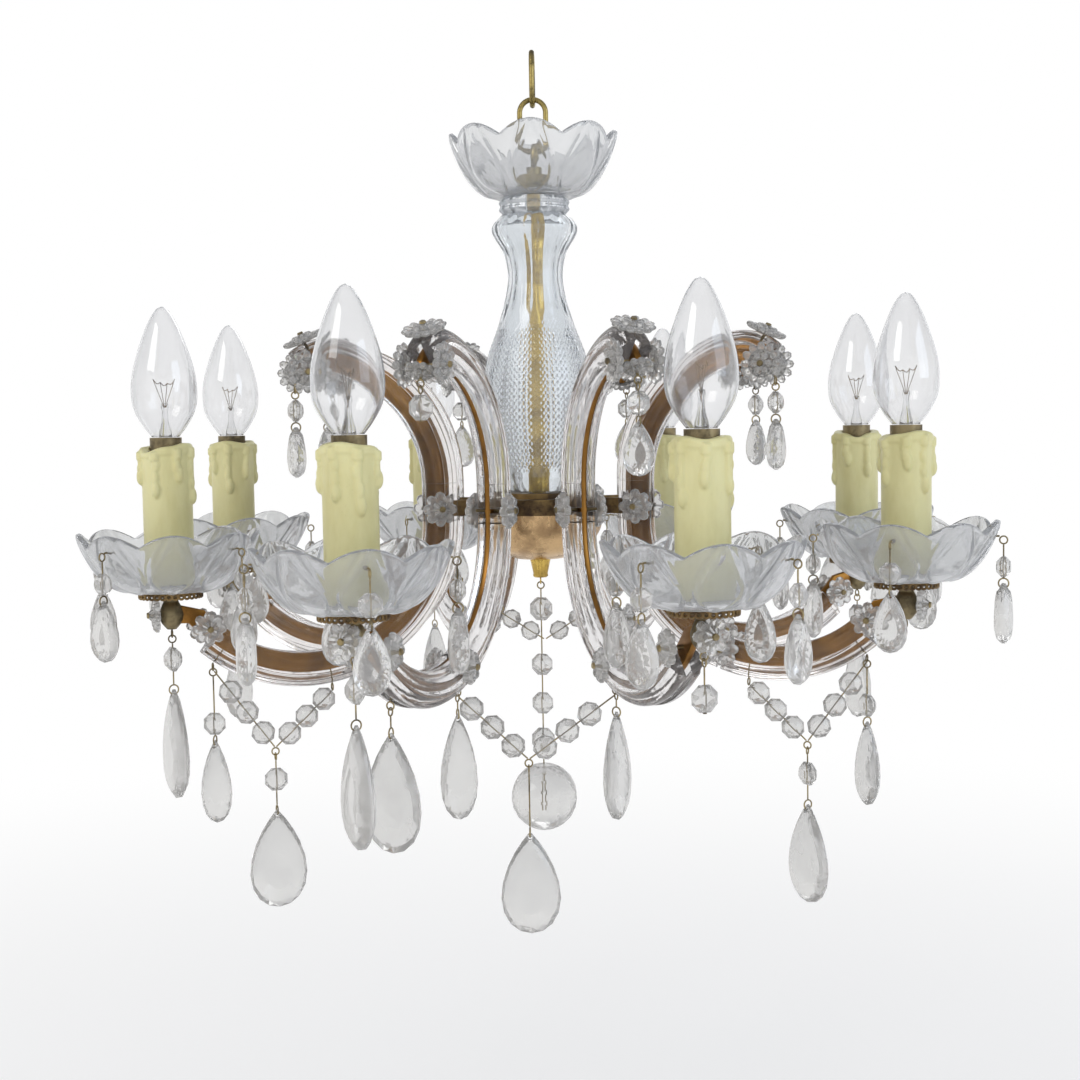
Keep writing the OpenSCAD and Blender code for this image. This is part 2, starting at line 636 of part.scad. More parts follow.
// Fixed strands on the arms: arm, loop that carries it, bead, lead, width, height, turn
boss_loop = [candle_r, 0, boss_low - loop_r - wire_r - touch];
fixed_strands = [[1, loop_mid(end_hook), 0, 6, 33, 60, 5], [1, loop_mid(bay_hook), 0, 4, 22, 57, 40],
                 [2, loop_mid(bay_hook), 0, 4, 22, 58, 30], [2, boss_loop, 13, 8, 0, 0, 0],
                 [3, loop_mid(side_hooks[1]), 12, 14, 19, 46, 50],
                 [8, loop_mid(side_hooks[1]), 12, 20, 19, 46, 60]];
scroll_beads = [13, 12, 12, 12, 12, 12, 12, 12];

module hooks_on(i) at_arm(i) {
    angles = i == 1 ? [end_hook, bay_hook] : i == 2 ? [bay_hook]
           : i == 3 || i == 8 ? side_hooks : i == 5 || i == 6 ? [rear_hook] : [];
    for (a = angles) hook(a);
    translate(boss_loop) rotate([0, 0, 90]) ring(loop_r, wire_r);
}

// Pin in a rim hole, its loop outside the dish, and the strand's wire below it
rim_r = dish_d / 2;
rim_pin = 9.4;
module rim_strand_frames(i) at_candle(i) rotate([0, 0, dish_turn[i - 1] - arm_angle(i)])
    for (k = [0:3]) rotate([0, 0, 90 * k]) translate([rim_r + 1.4, 0, rim_hole_z]) children();

module scroll_frame(i) at_arm(i) translate(tip_end - [0, 0, 2 * loop_r]) children();

module pins() color("khaki") {
    for (i = [1:8]) {
        at_arm(i) arm_pins();
        hooks_on(i);
        rim_strand_frames(i) {
            translate([-loop_r - touch, 0, 0]) rotate([0, -90, 0])
                headed(wire_r * 1.3, rim_pin - loop_r, 1, 0.6);
            translate([0, 0, -loop_r - loop_rise]) strand_wire(dish_bead_d, dish_lead);
        }
        scroll_frame(i) strand_wire(scroll_beads[i - 1], 0, 0, 0, i != 1);
    }
    for (s = fixed_strands) at_arm(s[0])
        translate(s[1] - [0, 0, loop_r]) strand_wire(s[2], s[3], 0, s[6], s[4] > 0);
    for (i = [3, 8]) at_arm(i) {
        for (r = side_rows()) row_wire(r[0], r[1]);
        translate(side_low - [0, 0, loop_r]) ring(loop_r, wire_r);
    }
    for (p = bay_ends(1, bay_hook)) row_wire(p - [0, 0, loop_r], bay_low);
    translate(bay_low - [0, 0, loop_r]) ring(loop_r, wire_r);
    for (p = bay_ends(5, rear_hook)) row_wire(p - [0, 0, loop_r], rear_low);
}

module small_drops() color("honeydew") {
    for (i = [1:8]) {
        rim_strand_frames(i) translate([0, 0, -loop_r - loop_rise]) {
            strand_bead(dish_bead_d, dish_lead);
            strand_drop(dish_bead_d, dish_lead, dish_drop_w, dish_drop_h);
        }
        scroll_frame(i) {
            strand_bead(scroll_beads[i - 1], 0);
            if (i != 1) strand_drop(scroll_beads[i - 1], 0, 19, 28);
        }
    }
    for (s = fixed_strands) at_arm(s[0]) translate(s[1] - [0, 0, loop_r]) {
        strand_bead(s[2], s[3], s[6]);
        if (s[4] > 0) strand_drop(s[2], s[3], s[4], s[5], 0, s[6]);
    }
}

module garland_beads() color("mintcream") {
    for (i = [3, 8]) at_arm(i) for (r = side_rows())
        bead_row(r[0], r[1], bead_d, 3);
    for (p = bay_ends(1, bay_hook)) bead_row(p - [0, 0, loop_r], bay_low, bead_d, 3);
    for (p = bay_ends(5, rear_hook)) bead_row(p - [0, 0, loop_r], rear_low, bead_d - 1, 2);
}

module centre_pendant() color("aliceblue") translate([0, 0, finial_low - 2 * loop_r + 0.2]) {
    low = -133;
    beads = [[-15, 13.5], [-48, bead_d], [-71, bead_d], [-93, 14]];
    translate([0, 0, loop_rise]) ring(loop_r, wire_r);
    translate([0, 0, low]) cylinder(r = wire_r, h = loop_rise - loop_r - low, $fn = 20);
    for (b = beads) translate([0, 0, b[0]]) bead(b[1]);
    difference() {
        translate([0, 0, -127]) sphere(d = ball_d);
        translate([0, 0, -127]) cylinder(r = bead_bore, h = 2 * ball_d, center = true, $fn = 20);
    }
}

module garland_drop_front() color("aliceblue") translate(bay_low - [0, 0, 2 * loop_r])
    rotate([0, 0, 90]) strand(0, 30, almond_w, almond_h - 5, 0);
module garland_drop_left() color("aliceblue") at_arm(8) translate(side_low - [0, 0, 2 * loop_r])
    rotate([0, 0, 90]) strand(bead_d, 4, almond_w, almond_h - 5, 8);
module garland_drop_right() color("aliceblue") at_arm(3) translate(side_low - [0, 0, 2 * loop_r])
    rotate([0, 0, 90]) strand(bead_d, 4, almond_w, almond_h - 5, 8, -35);

// Drop at the end of arm i: bead, width, height and turn
module arm_drop(i, d, w, h, turn) color("azure") at_arm(i)
    translate(boss_loop - [0, 0, loop_r]) strand(d, 2, w, h, 7, turn);

upper_link();
chain_link();
top_eye();
centre_rod();
top_dish();
neck_collar();
vase();
hub_plate();
hub_bowl();
finial();
arm(1);  // arm_1
arm(2);  // arm_2
arm(3);  // arm_3
arm(4);  // arm_4
arm(5);  // arm_5
arm(6);  // arm_6
arm(7);  // arm_7
arm(8);  // arm_8
arm_glass_left();
arm_glass_right();
drip_cups();
lampholders();
dish(1);  // dish_1
dish(2);  // dish_2
dish(3);  // dish_3
dish(4);  // dish_4
dish(5);  // dish_5
dish(6);  // dish_6
dish(7);  // dish_7
dish(8);  // dish_8
candle(1);  // candle_1
candle(2);  // candle_2
candle(3);  // candle_3
candle(4);  // candle_4
candle(5);  // candle_5
candle(6);  // candle_6
candle(7);  // candle_7
candle(8);  // candle_8
bulb(1);  // bulb_1
bulb(2);  // bulb_2
bulb(3);  // bulb_3
bulb(4);  // bulb_4
bulb(5);  // bulb_5
bulb(6);  // bulb_6
bulb(7);  // bulb_7
bulb(8);  // bulb_8
rosettes();
pins();
small_drops();
garland_beads();
centre_pendant();
garland_drop_front();
garland_drop_left();
garland_drop_right();
arm_drop(1, 13, almond_w, almond_h, -35);  // arm_drop_1
arm_drop(4, 12, 22, 50, 20);  // arm_drop_4
arm_drop(5, 12, 24, 54, -30);  // arm_drop_5
arm_drop(6, 12, 24, 50, 25);  // arm_drop_6
arm_drop(7, 12, 22, 46, -20);  // arm_drop_7
arm_drop(8, 13, almond_w, almond_h, 10);  // arm_drop_8
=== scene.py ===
"""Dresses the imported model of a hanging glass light: glass, brass, wax-look sleeves and bulbs.

Sizes are in millimetres until a piece is finished, when its mesh is brought to metres.
"""

from __future__ import annotations

import logging
import math
from dataclasses import dataclass, field
from enum import Enum
from typing import Callable, Iterable, Sequence

import bmesh
import bpy
from mathutils import Matrix, Vector


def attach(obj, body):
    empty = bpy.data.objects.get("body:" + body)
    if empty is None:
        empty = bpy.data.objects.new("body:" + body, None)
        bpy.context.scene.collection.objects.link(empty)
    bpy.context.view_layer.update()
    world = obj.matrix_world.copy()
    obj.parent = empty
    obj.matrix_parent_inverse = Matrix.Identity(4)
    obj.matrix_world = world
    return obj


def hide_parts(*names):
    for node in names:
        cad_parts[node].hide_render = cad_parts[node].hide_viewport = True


log = logging.getLogger("light")
Point = Sequence[float]

# Metres in a millimetre, and in millimetres the radius of bent wire and of a hook's ring
MM = 0.001
WIRE = 0.4
RING = 2.0


# Places shared with the solids


def arm_angle(number: int) -> float:
    """Direction of an arm from the front, in degrees."""
    return -22.5 + 45.0 * (number - 1)


def turn(axis: str, degrees: float) -> Matrix:
    """Rotation about one axis."""
    return Matrix.Rotation(math.radians(degrees), 4, axis)


def shift(x: float, y: float, z: float) -> Matrix:
    """Plain move."""
    return Matrix.Translation((x, y, z))


def aim(a: Point, b: Point) -> Matrix:
    """Frame at a whose Z axis points at b.

    Args:
        a: Start point.
        b: Point that the Z axis runs to.

    Returns:
        The frame as a matrix.
    """
    d = Vector(b) - Vector(a)
    tilt = math.degrees(math.acos(d.z / d.length))
    return shift(*a) @ turn("Z", math.degrees(math.atan2(d.y, d.x))) @ turn("Y", tilt)


def around(centre: Point, radius: float, degrees: float) -> tuple[float, float]:
    """Point in an arm's plane at a radius and an angle from a centre."""
    a = math.radians(degrees)
    return centre[0] + radius * math.cos(a), centre[1] + radius * math.sin(a)


@dataclass(frozen=True)
class Levels:
    """Heights, radii and angles of the solids that the visible pieces meet."""

    # Heights
    joint: float = -259.7
    bowl_top: float = -264.2
    seat_top: float = -252.2
    vase_top: float = -91.2
    collar_top: float = -81.2
    finial_low: float = -302.2
    cup: float = -299.2
    dish_floor: float = -296.2
    sleeve_top: float = -219.2
    bulb: float = -215.9
    boss_low: float = -320.2

    # Radii of the candles, the joints and the arcs of an arm, and the arcs' places
    candle_r: float = 215.0
    joint_r: float = 61.0
    upper_r: float = 74.0
    lower_r: float = 80.0
    scroll_r: float = 20.0
    upper_rise: float = 14.5
    lower_drop: float = 7.0
    crown_turn: float = 100.0
    tip_turn: float = 30.0

    # The strap's inner edge from the arm's line, its width and its thickness
    strap_in: float = -8.5
    strap_w: float = 11.0
    strap_t: float = 3.6

    # Hooks below an arm: their reach, their angles, and places inside the candle
    hook_reach: float = 10.5
    bay_hook: float = 250.0
    rear_hook: float = 221.0
    side_hook: float = 261.0
    side_inside: float = 21.5
    end_inside: float = 33.0

    # Rosettes inside the arm's line, strands below their hooks, side garlands below the joint
    rosette_in: float = 3.0
    strand_drop: float = 4.0
    side_depth: float = 130.5

    # Wire of the loop under a boss, and the pendant's ring below the finial
    boss_wire: float = 0.45
    finial_ring: float = 3.8

    @property
    def upper(self) -> tuple[float, float]:
        """Centre of the upper arc in the arm's plane."""
        return self.joint_r + self.upper_r, self.joint + self.upper_rise

    @property
    def lower(self) -> tuple[float, float]:
        """Centre of the lower arc in the arm's plane."""
        return self.joint_r + self.lower_r, self.joint - self.lower_drop

    def hook(self, angle: float) -> tuple[float, float]:
        """Place below the arm, in its plane, where a hook at this angle ends."""
        return around(self.lower, self.lower_r + self.hook_reach, angle)

    def before(self, inside: float) -> float:
        """Angle of a hook that lies this far inside the candle."""
        share = (self.candle_r - inside - self.lower[0]) / (self.lower_r + self.hook_reach)
        return 360.0 - math.degrees(math.acos(share))

    @property
    def side_low(self) -> tuple[float, float, float]:
        """Low point of a garland along one arm."""
        ends = [self.hook(a)[0] for a in (self.side_hook, self.before(self.side_inside))]
        return sum(ends) / 2, 0.0, self.joint - self.side_depth

    @property
    def scroll(self) -> tuple[float, float]:
        """Centre of the scroll in the arm's plane."""
        return around(self.upper, self.upper_r - self.scroll_r, self.crown_turn)

    @property
    def boss_loop(self) -> float:
        """Height of the loop under a boss."""
        return self.boss_low - self.boss_wire

    @property
    def finial_loop(self) -> float:
        """Height where the pendant's ring hangs in the finial's loop."""
        return self.finial_low - self.finial_ring


LV = Levels()


def at_arm(number: int) -> Matrix:
    """Frame of an arm: X runs outwards."""
    return turn("Z", arm_angle(number) - 90.0)


def at_candle(number: int) -> Matrix:
    """Frame of a candle: the arm's frame moved out to it."""
    return at_arm(number) @ shift(LV.candle_r, 0, 0)


def smooth(keys: Sequence[Point], steps: int) -> list[tuple[float, float]]:
    """Smooth line through key points, as the solids use it.

    Args:
        keys: Points that the line passes.
        steps: Steps between two of them.

    Returns:
        Points along the line.
    """
    out: list[tuple[float, float]] = []
    last = len(keys) - 1
    for i in range(last):
        a, b, c, d = keys[max(i - 1, 0)], keys[i], keys[i + 1], keys[min(i + 2, last)]
        for j in range(steps):
            t = j / steps
            out.append(tuple(
                0.5 * (2 * b[k] + (c[k] - a[k]) * t
                       + (2 * a[k] - 5 * b[k] + 4 * c[k] - d[k]) * t * t
                       + (3 * b[k] - a[k] - 3 * c[k] + d[k]) * t ** 3) for k in (0, 1)))
    out.append(tuple(keys[last]))
    return out


# Modelling by hand, step by step


def polar(vertex: bpy.types.MeshVertex) -> tuple[float, float]:
    """Radius and angle in radians of a corner about the Z axis."""
    return math.hypot(vertex.co.x, vertex.co.y), math.atan2(vertex.co.y, vertex.co.x)


def widen(vertex: bpy.types.MeshVertex, share: float) -> None:
    """Moves a corner away from the Z axis or towards it."""
    vertex.co.x *= share
    vertex.co.y *= share


class Bench:
    """Blender's own modelling tools, with the few steps that the pieces share."""

    @staticmethod
    def clear() -> None:
        """Deselects everything in object mode."""
        if bpy.context.object and bpy.context.object.mode != "OBJECT":
            bpy.ops.object.mode_set(mode="OBJECT")
        bpy.ops.object.select_all(action="DESELECT")

    @staticmethod
    def pick(piece: bpy.types.Object) -> None:
        """Selects one piece alone and makes it active.

        Args:
            piece: The piece.
        """
        Bench.clear()
        piece.select_set(True)
        bpy.context.view_layer.objects.active = piece

    @staticmethod
    def edit(piece: bpy.types.Object) -> None:
        """Opens a piece in edit mode with all of it selected.

        Args:
            piece: The piece.
        """
        Bench.pick(piece)
        bpy.ops.object.mode_set(mode="EDIT")
        bpy.ops.mesh.select_all(action="SELECT")

    @staticmethod
    def close(piece: bpy.types.Object) -> bpy.types.Object:
        """Merges doubles, points the normals outwards and leaves edit mode.

        Args:
            piece: The piece, in edit mode.

        Returns:
            The same piece.
        """
        bpy.ops.mesh.select_all(action="SELECT")
        bpy.ops.mesh.remove_doubles(threshold=0.001)
        bpy.ops.mesh.normals_make_consistent(inside=False)
        bpy.ops.object.mode_set(mode="OBJECT")
        return piece

    @staticmethod
    def fill(piece: bpy.types.Object) -> bpy.types.Object:
        """Fills the open ends of a piece in edit mode and closes it.

        Args:
            piece: The piece, in edit mode.

        Returns:
            The same piece.
        """
        bpy.ops.mesh.select_all(action="SELECT")
        bpy.ops.mesh.fill_holes(sides=0)
        return Bench.close(piece)

    @staticmethod
    def loop(points: Sequence[Point], closed: bool = True) -> bpy.types.Object:
        """A circle primitive whose corners are moved onto points.

        Args:
            points: Places of the corners.
            closed: False opens the loop between its last and first corner.

        Returns:
            The loop, opened in edit mode with all of it selected.
        """
        Bench.clear()
        bpy.ops.mesh.primitive_circle_add(vertices=len(points), radius=1)
        piece = bpy.context.object
        for vertex, place in zip(piece.data.vertices, points):
            vertex.co = place
        Bench.edit(piece)
        if not closed:
            bm = bmesh.from_edit_mesh(piece.data)
            bm.edges.ensure_lookup_table()
            last = len(points) - 1
            for edge in bm.edges:
                edge.select_set({v.index for v in edge.verts} == {0, last})
            bmesh.update_edit_mesh(piece.data)
            bpy.ops.mesh.delete(type="EDGE")
            bpy.ops.mesh.select_all(action="SELECT")
        return piece

    @staticmethod
    def lathe(profile: Sequence[Point], steps: int, closed: bool = True) -> bpy.types.Object:
        """Spins a profile of (radius, height) points round the Z axis.

        Args:
            profile: Points of the profile.
            steps: Steps of the full turn.
            closed: True for a solid's closed profile, False for a single skin.

        Returns:
            The spun piece.
        """
        piece = Bench.loop([(r, 0, z) for r, z in profile], closed)
        bpy.ops.mesh.spin(steps=steps, angle=2 * math.pi, center=(0, 0, 0), axis=(0, 0, 1))
        return Bench.close(piece)

    @staticmethod
    def sweep(section: Sequence[Point], centre: Point, a: float, b: float,
              steps: int) -> bpy.types.Object:
        """Spins a closed section along an arc in the XZ plane and caps its ends.

        Args:
            section: (radius, Y) points of the section.
            centre: X and Z of the arc's centre.
            a: Start angle in degrees.
            b: End angle in degrees.
            steps: Steps along the arc.

        Returns:
            The swept piece.
        """
        x, z, t = centre[0], centre[1], math.radians(a)
        piece = Bench.loop([(x + r * math.cos(t), y, z + r * math.sin(t)) for r, y in section])
        bpy.ops.mesh.spin(steps=steps, angle=math.radians(b - a), center=(x, 0, z), axis=(0, 1, 0))
        return Bench.fill(piece)

    @staticmethod
    def prism(outline: Sequence[Point], move: Point) -> bpy.types.Object:
        """Fills an outline and extrudes it.

        Args:
            outline: Places of the corners.
            move: How far the outline is raised, on each axis.

        Returns:
            The prism.
        """
        piece = Bench.loop(outline)
        bpy.ops.mesh.extrude_region_move(TRANSFORM_OT_translate={"value": tuple(move)})
        return Bench.fill(piece)

    @staticmethod
    def stack(outline: Sequence[Point], levels: Sequence[Point],
              middle: Point) -> bpy.types.Object:
        """Raises an outline along X through levels, each with its own scale.

        Args:
            outline: Closed outline in the YZ plane.
            levels: (X, scale) of each level.
            middle: Y and Z that the scaling keeps in place.

        Returns:
            The stacked piece, both ends filled.
        """
        cy, cz = middle
        x, k = levels[0]
        piece = Bench.loop([(x, cy + (y - cy) * k, cz + (z - cz) * k) for y, z in outline])
        for (x0, k0), (x1, k1) in zip(levels, levels[1:]):
            bpy.ops.mesh.extrude_region_move(TRANSFORM_OT_translate={"value": (x1 - x0, 0, 0)})
            k = k1 / k0
            bpy.ops.transform.resize(value=(1, k, k), center_override=(x1, cy, cz))
        return Bench.fill(piece)

    @staticmethod
    def poke(piece: bpy.types.Object, wanted: Callable[[Vector, Vector], bool],
             offset: float) -> bpy.types.Object:
        """Cuts faces into triangular facets round a raised middle.

        Args:
            piece: Piece to work on.
            wanted: Tells by normal and centre whether a face is cut.
            offset: How far the middle is raised.

        Returns:
            The same piece.
        """
        Bench.edit(piece)
        bpy.ops.mesh.select_mode(type="FACE")
        bm = bmesh.from_edit_mesh(piece.data)
        for face in bm.faces:
            face.select_set(wanted(face.normal, face.calc_center_median()))
        bmesh.update_edit_mesh(piece.data)
        bpy.ops.mesh.poke(offset=offset)
        bpy.ops.mesh.select_mode(type="VERT")
        bpy.ops.object.mode_set(mode="OBJECT")
        return piece

    @staticmethod
    def apply(piece: bpy.types.Object, kind: str, **settings: object) -> bpy.types.Object:
        """Adds a modifier and applies it.

        Args:
            piece: Piece to change.
            kind: The modifier's type.
            **settings: Its settings.

        Returns:
            The same piece.
        """
        Bench.pick(piece)
        modifier = piece.modifiers.new(kind.lower(), kind)
        for name, value in settings.items():
            setattr(modifier, name, value)
        bpy.ops.object.modifier_apply(modifier=modifier.name)
        return piece

    @staticmethod
    def bevel(piece: bpy.types.Object, width: float, segments: int = 2,
              angle: float = 35.0) -> bpy.types.Object:
        """Rounds the sharp edges of a piece."""
        return Bench.apply(piece, "BEVEL", width=width, segments=segments, limit_method="ANGLE",
                           angle_limit=math.radians(angle))

    @staticmethod
    def ball(radius: float, segments: int = 14, rings: int = 10) -> bpy.types.Object:
        """A round ball at the origin.

        Args:
            radius: Its radius.
            segments: Faces round it.
            rings: Faces from pole to pole.

        Returns:
            The ball.
        """
        Bench.clear()
        bpy.ops.mesh.primitive_uv_sphere_add(segments=segments, ring_count=rings, radius=radius)
        return bpy.context.object

    @staticmethod
    def wire(radius: float = RING, thick: float = WIRE) -> bpy.types.Object:
        """A bent wire ring in the XZ plane.

        Args:
            radius: Radius of the ring's middle line.
            thick: Radius of the wire.

        Returns:
            The ring.
        """
        Bench.clear()
        bpy.ops.mesh.primitive_torus_add(major_radius=radius, minor_radius=thick,
                                         major_segments=20, minor_segments=8)
        ring = bpy.context.object
        ring.data.transform(turn("X", 90))
        return ring

    @staticmethod
    def rod(radius: float, low: float, high: float, corners: int = 10) -> bpy.types.Object:
        """A straight wire along Z with softened ends.

        Args:
            radius: Radius of the wire.
            low: Height of its lower end.
            high: Height of its upper end.
            corners: Corners of its section.

        Returns:
            The wire.
        """
        Bench.clear()
        bpy.ops.mesh.primitive_cylinder_add(vertices=corners, radius=radius, depth=high - low,
                                            location=(0, 0, (low + high) / 2))
        bpy.ops.object.transform_apply(location=True, rotation=True, scale=True)
        return Bench.bevel(bpy.context.object, radius * 0.3, 1, 60)

    @staticmethod
    def copies(model: bpy.types.Object, places: Iterable[Matrix],
               keep: bool = False) -> list[bpy.types.Object]:
        """Copies a model to places, each copy with its own mesh.

        Args:
            model: The piece that was modelled once.
            places: Where the copies go.
            keep: True leaves the model for later copies.

        Returns:
            The copies.
        """
        made = []
        for place in places:
            other = bpy.data.objects.new(model.name, model.data.copy())
            other.data.transform(place)
            if place.determinant() < 0:
                other.data.flip_normals()
            bpy.context.scene.collection.objects.link(other)
            made.append(other)
        if not keep:
            bpy.data.objects.remove(model)
        return made

    @staticmethod
    def join(parts: Sequence[bpy.types.Object]) -> bpy.types.Object:
        """Joins pieces into one object.

        Args:
            parts: The pieces, the first of which gives its name.

        Returns:
            The joined piece.
        """
        Bench.clear()
        for part in parts:
            part.select_set(True)
        bpy.context.view_layer.objects.active = parts[0]
        if len(parts) > 1:
            bpy.ops.object.join()
        return bpy.context.object

    @staticmethod
    def soften(piece: bpy.types.Object, angle: float = 32.0) -> bpy.types.Object:
        """Smooth shading below an angle, sharp above it.

        Args:
            piece: The piece.
            angle: The angle between two faces, in degrees.

        Returns:
            The same piece.
        """
        Bench.pick(piece)
        bpy.ops.object.shade_smooth_by_angle(angle=math.radians(angle))
        return piece


# Finishes


class Value:
    """A number that a node gives, used in plain expressions."""

    def __init__(self, paint: "Paint", socket: bpy.types.NodeSocket) -> None:
        """Keeps the node tree and the socket."""
        self.paint, self.socket = paint, socket

    def _do(self, operation: str, a: "Value | float", b: "Value | float" = 0.0) -> "Value":
        """Adds one Math node."""
        node = self.paint.node("ShaderNodeMath", {"operation": operation}, {0: a, 1: b})
        return Value(self.paint, node.outputs[0])

    def __add__(self, other: "Value | float") -> "Value":
        """Sum."""
        return self._do("ADD", self, other)

    __radd__ = __add__

    def __mul__(self, other: "Value | float") -> "Value":
        """Product."""
        return self._do("MULTIPLY", self, other)

    __rmul__ = __mul__

    def __sub__(self, other: "Value | float") -> "Value":
        """Difference."""
        return self._do("SUBTRACT", self, other)

    def __rsub__(self, other: float) -> "Value":
        """Reflected difference."""
        return self._do("SUBTRACT", other, self)

    def power(self, exponent: float) -> "Value":
        """Power."""
        return self._do("POWER", self, exponent)

    def absolute(self) -> "Value":
        """Absolute value."""
        return self._do("ABSOLUTE", self)

    def wave(self) -> "Value":
        """Sine."""
        return self._do("SINE", self)

    def step(self, low: float, high: float) -> "Value":
        """Smooth step from 0 at low to 1 at high.

        Args:
            low: Value where the step starts.
            high: Value where it ends.

        Returns:
            The mask.
        """
        node = self.paint.node(
            "ShaderNodeMapRange", {"interpolation_type": "SMOOTHSTEP"},
            {"Value": self, "From Min": low, "From Max": high, "To Min": 0.0, "To Max": 1.0})
        return Value(self.paint, node.outputs[0])


class Paint:
    """One material's nodes."""

    def __init__(self, name: str) -> None:
        """Starts a material with a Principled shader.

        Args:
            name: Its name.
        """
        self.material = bpy.data.materials.new(name)
        self.material.use_nodes = True
        self.tree = self.material.node_tree
        self.shader = self.tree.nodes["Principled BSDF"]
        self.output = self.tree.nodes["Material Output"]
        self.place = self.node("ShaderNodeTexCoord", {}, {}).outputs["Object"]

    def node(self, kind: str, settings: dict, inputs: dict) -> bpy.types.Node:
        """Adds any node.

        Args:
            kind: The node's type.
            settings: Its settings, set first.
            inputs: Values or links by socket name or number.

        Returns:
            The node.
        """
        node = self.tree.nodes.new(kind)
        for name, value in settings.items():
            setattr(node, name, value)
        for name, value in inputs.items():
            self.plug(node.inputs[name], value)
        return node

    def plug(self, socket: bpy.types.NodeSocket, value: object) -> None:
        """Sets a socket or links it.

        Args:
            socket: The socket.
            value: Number or colour to set, or what to link.
        """
        if isinstance(value, Value):
            value = value.socket
        if isinstance(value, bpy.types.NodeSocket):
            self.tree.links.new(value, socket)
        else:
            socket.default_value = value

    def set(self, **values: object) -> None:
        """Sets or links sockets of the main shader; _ stands for a space."""
        for name, value in values.items():
            self.plug(self.shader.inputs[name.replace("_", " ")], value)

    def noise(self, scale: float, detail: float = 3.0, rough: float = 0.55,
              stretch: Point = (1, 1, 1)) -> Value:
        """Noise over the piece's own coordinates.

        Args:
            scale: Cells per metre.
            detail: Octaves.
            rough: How strong the fine octaves are.
            stretch: Scale on each axis.

        Returns:
            The noise, about 0 to 1.
        """
        place = self.node("ShaderNodeMapping", {}, {"Vector": self.place, "Scale": tuple(stretch)})
        node = self.node("ShaderNodeTexNoise", {"noise_dimensions": "3D"},
                         {"Vector": place.outputs[0], "Scale": scale, "Detail": detail,
                          "Roughness": rough})
        return Value(self, node.outputs["Fac"])

    def attribute(self, name: str) -> Value:
        """A number stored on the piece."""
        return Value(self, self.node("ShaderNodeAttribute", {"attribute_name": name}, {})
                     .outputs["Fac"])

    def blend(self, mask: "Value | float", low: Point, high: Point) -> bpy.types.NodeSocket:
        """Mixes two colours, or a colour and a link, by a mask.

        Args:
            mask: Share of the second, 0 to 1.
            low: Colour or link where the mask is 0.
            high: Colour or link where the mask is 1.

        Returns:
            The mixed colour.
        """
        def full(colour: object) -> object:
            """A colour with its alpha, or a link as it is."""
            return colour if isinstance(colour, bpy.types.NodeSocket) else (*colour, 1.0)
        node = self.node("ShaderNodeMix", {"data_type": "RGBA"},
                         {0: mask, 6: full(low), 7: full(high)})
        return node.outputs[2]

    def relief(self, height: Value, depth: float, strength: float = 1.0) -> None:
        """Bump on the main shader.

        Args:
            height: Pattern from 0 to 1.
            depth: Its depth in metres.
            strength: Strength of the effect.
        """
        node = self.node("ShaderNodeBump", {}, {"Height": height, "Distance": depth,
                                                "Strength": strength})
        self.set(Normal=node.outputs[0])

    def edge(self, blend: float = 0.4) -> Value:
        """How far the surface turns away, 0 facing and 1 edge-on."""
        return Value(self, self.node("ShaderNodeLayerWeight", {}, {"Blend": blend})
                     .outputs["Facing"])

    def over(self, mask: Value, other: bpy.types.Node) -> None:
        """Lays a second shader over the main one.

        Args:
            mask: Where the second shader shows.
            other: The second shader.
        """
        mix = self.node("ShaderNodeMixShader", {}, {0: mask, 1: self.shader.outputs[0],
                                                    2: other.outputs[0]})
        self.tree.links.new(mix.outputs[0], self.output.inputs["Surface"])


class Cut(Enum):
    """How a glass piece was worked."""

    POLISHED = "polished"
    PRESSED = "pressed"
    LEAFED = "leafed"
    RIBBED = "ribbed"
    BLOWN = "blown"


# Scale and detail of the unevenness, its depth in metres and its strength
RELIEFS: dict[Cut, tuple[float, float, float, float]] = {
    Cut.POLISHED: (260.0, 1.0, 0.0001, 0.25),
    Cut.PRESSED: (120.0, 2.0, 0.0005, 0.4),
    Cut.RIBBED: (150.0, 1.0, 0.0004, 0.4),
    Cut.BLOWN: (60.0, 1.0, 0.0003, 0.15),
}


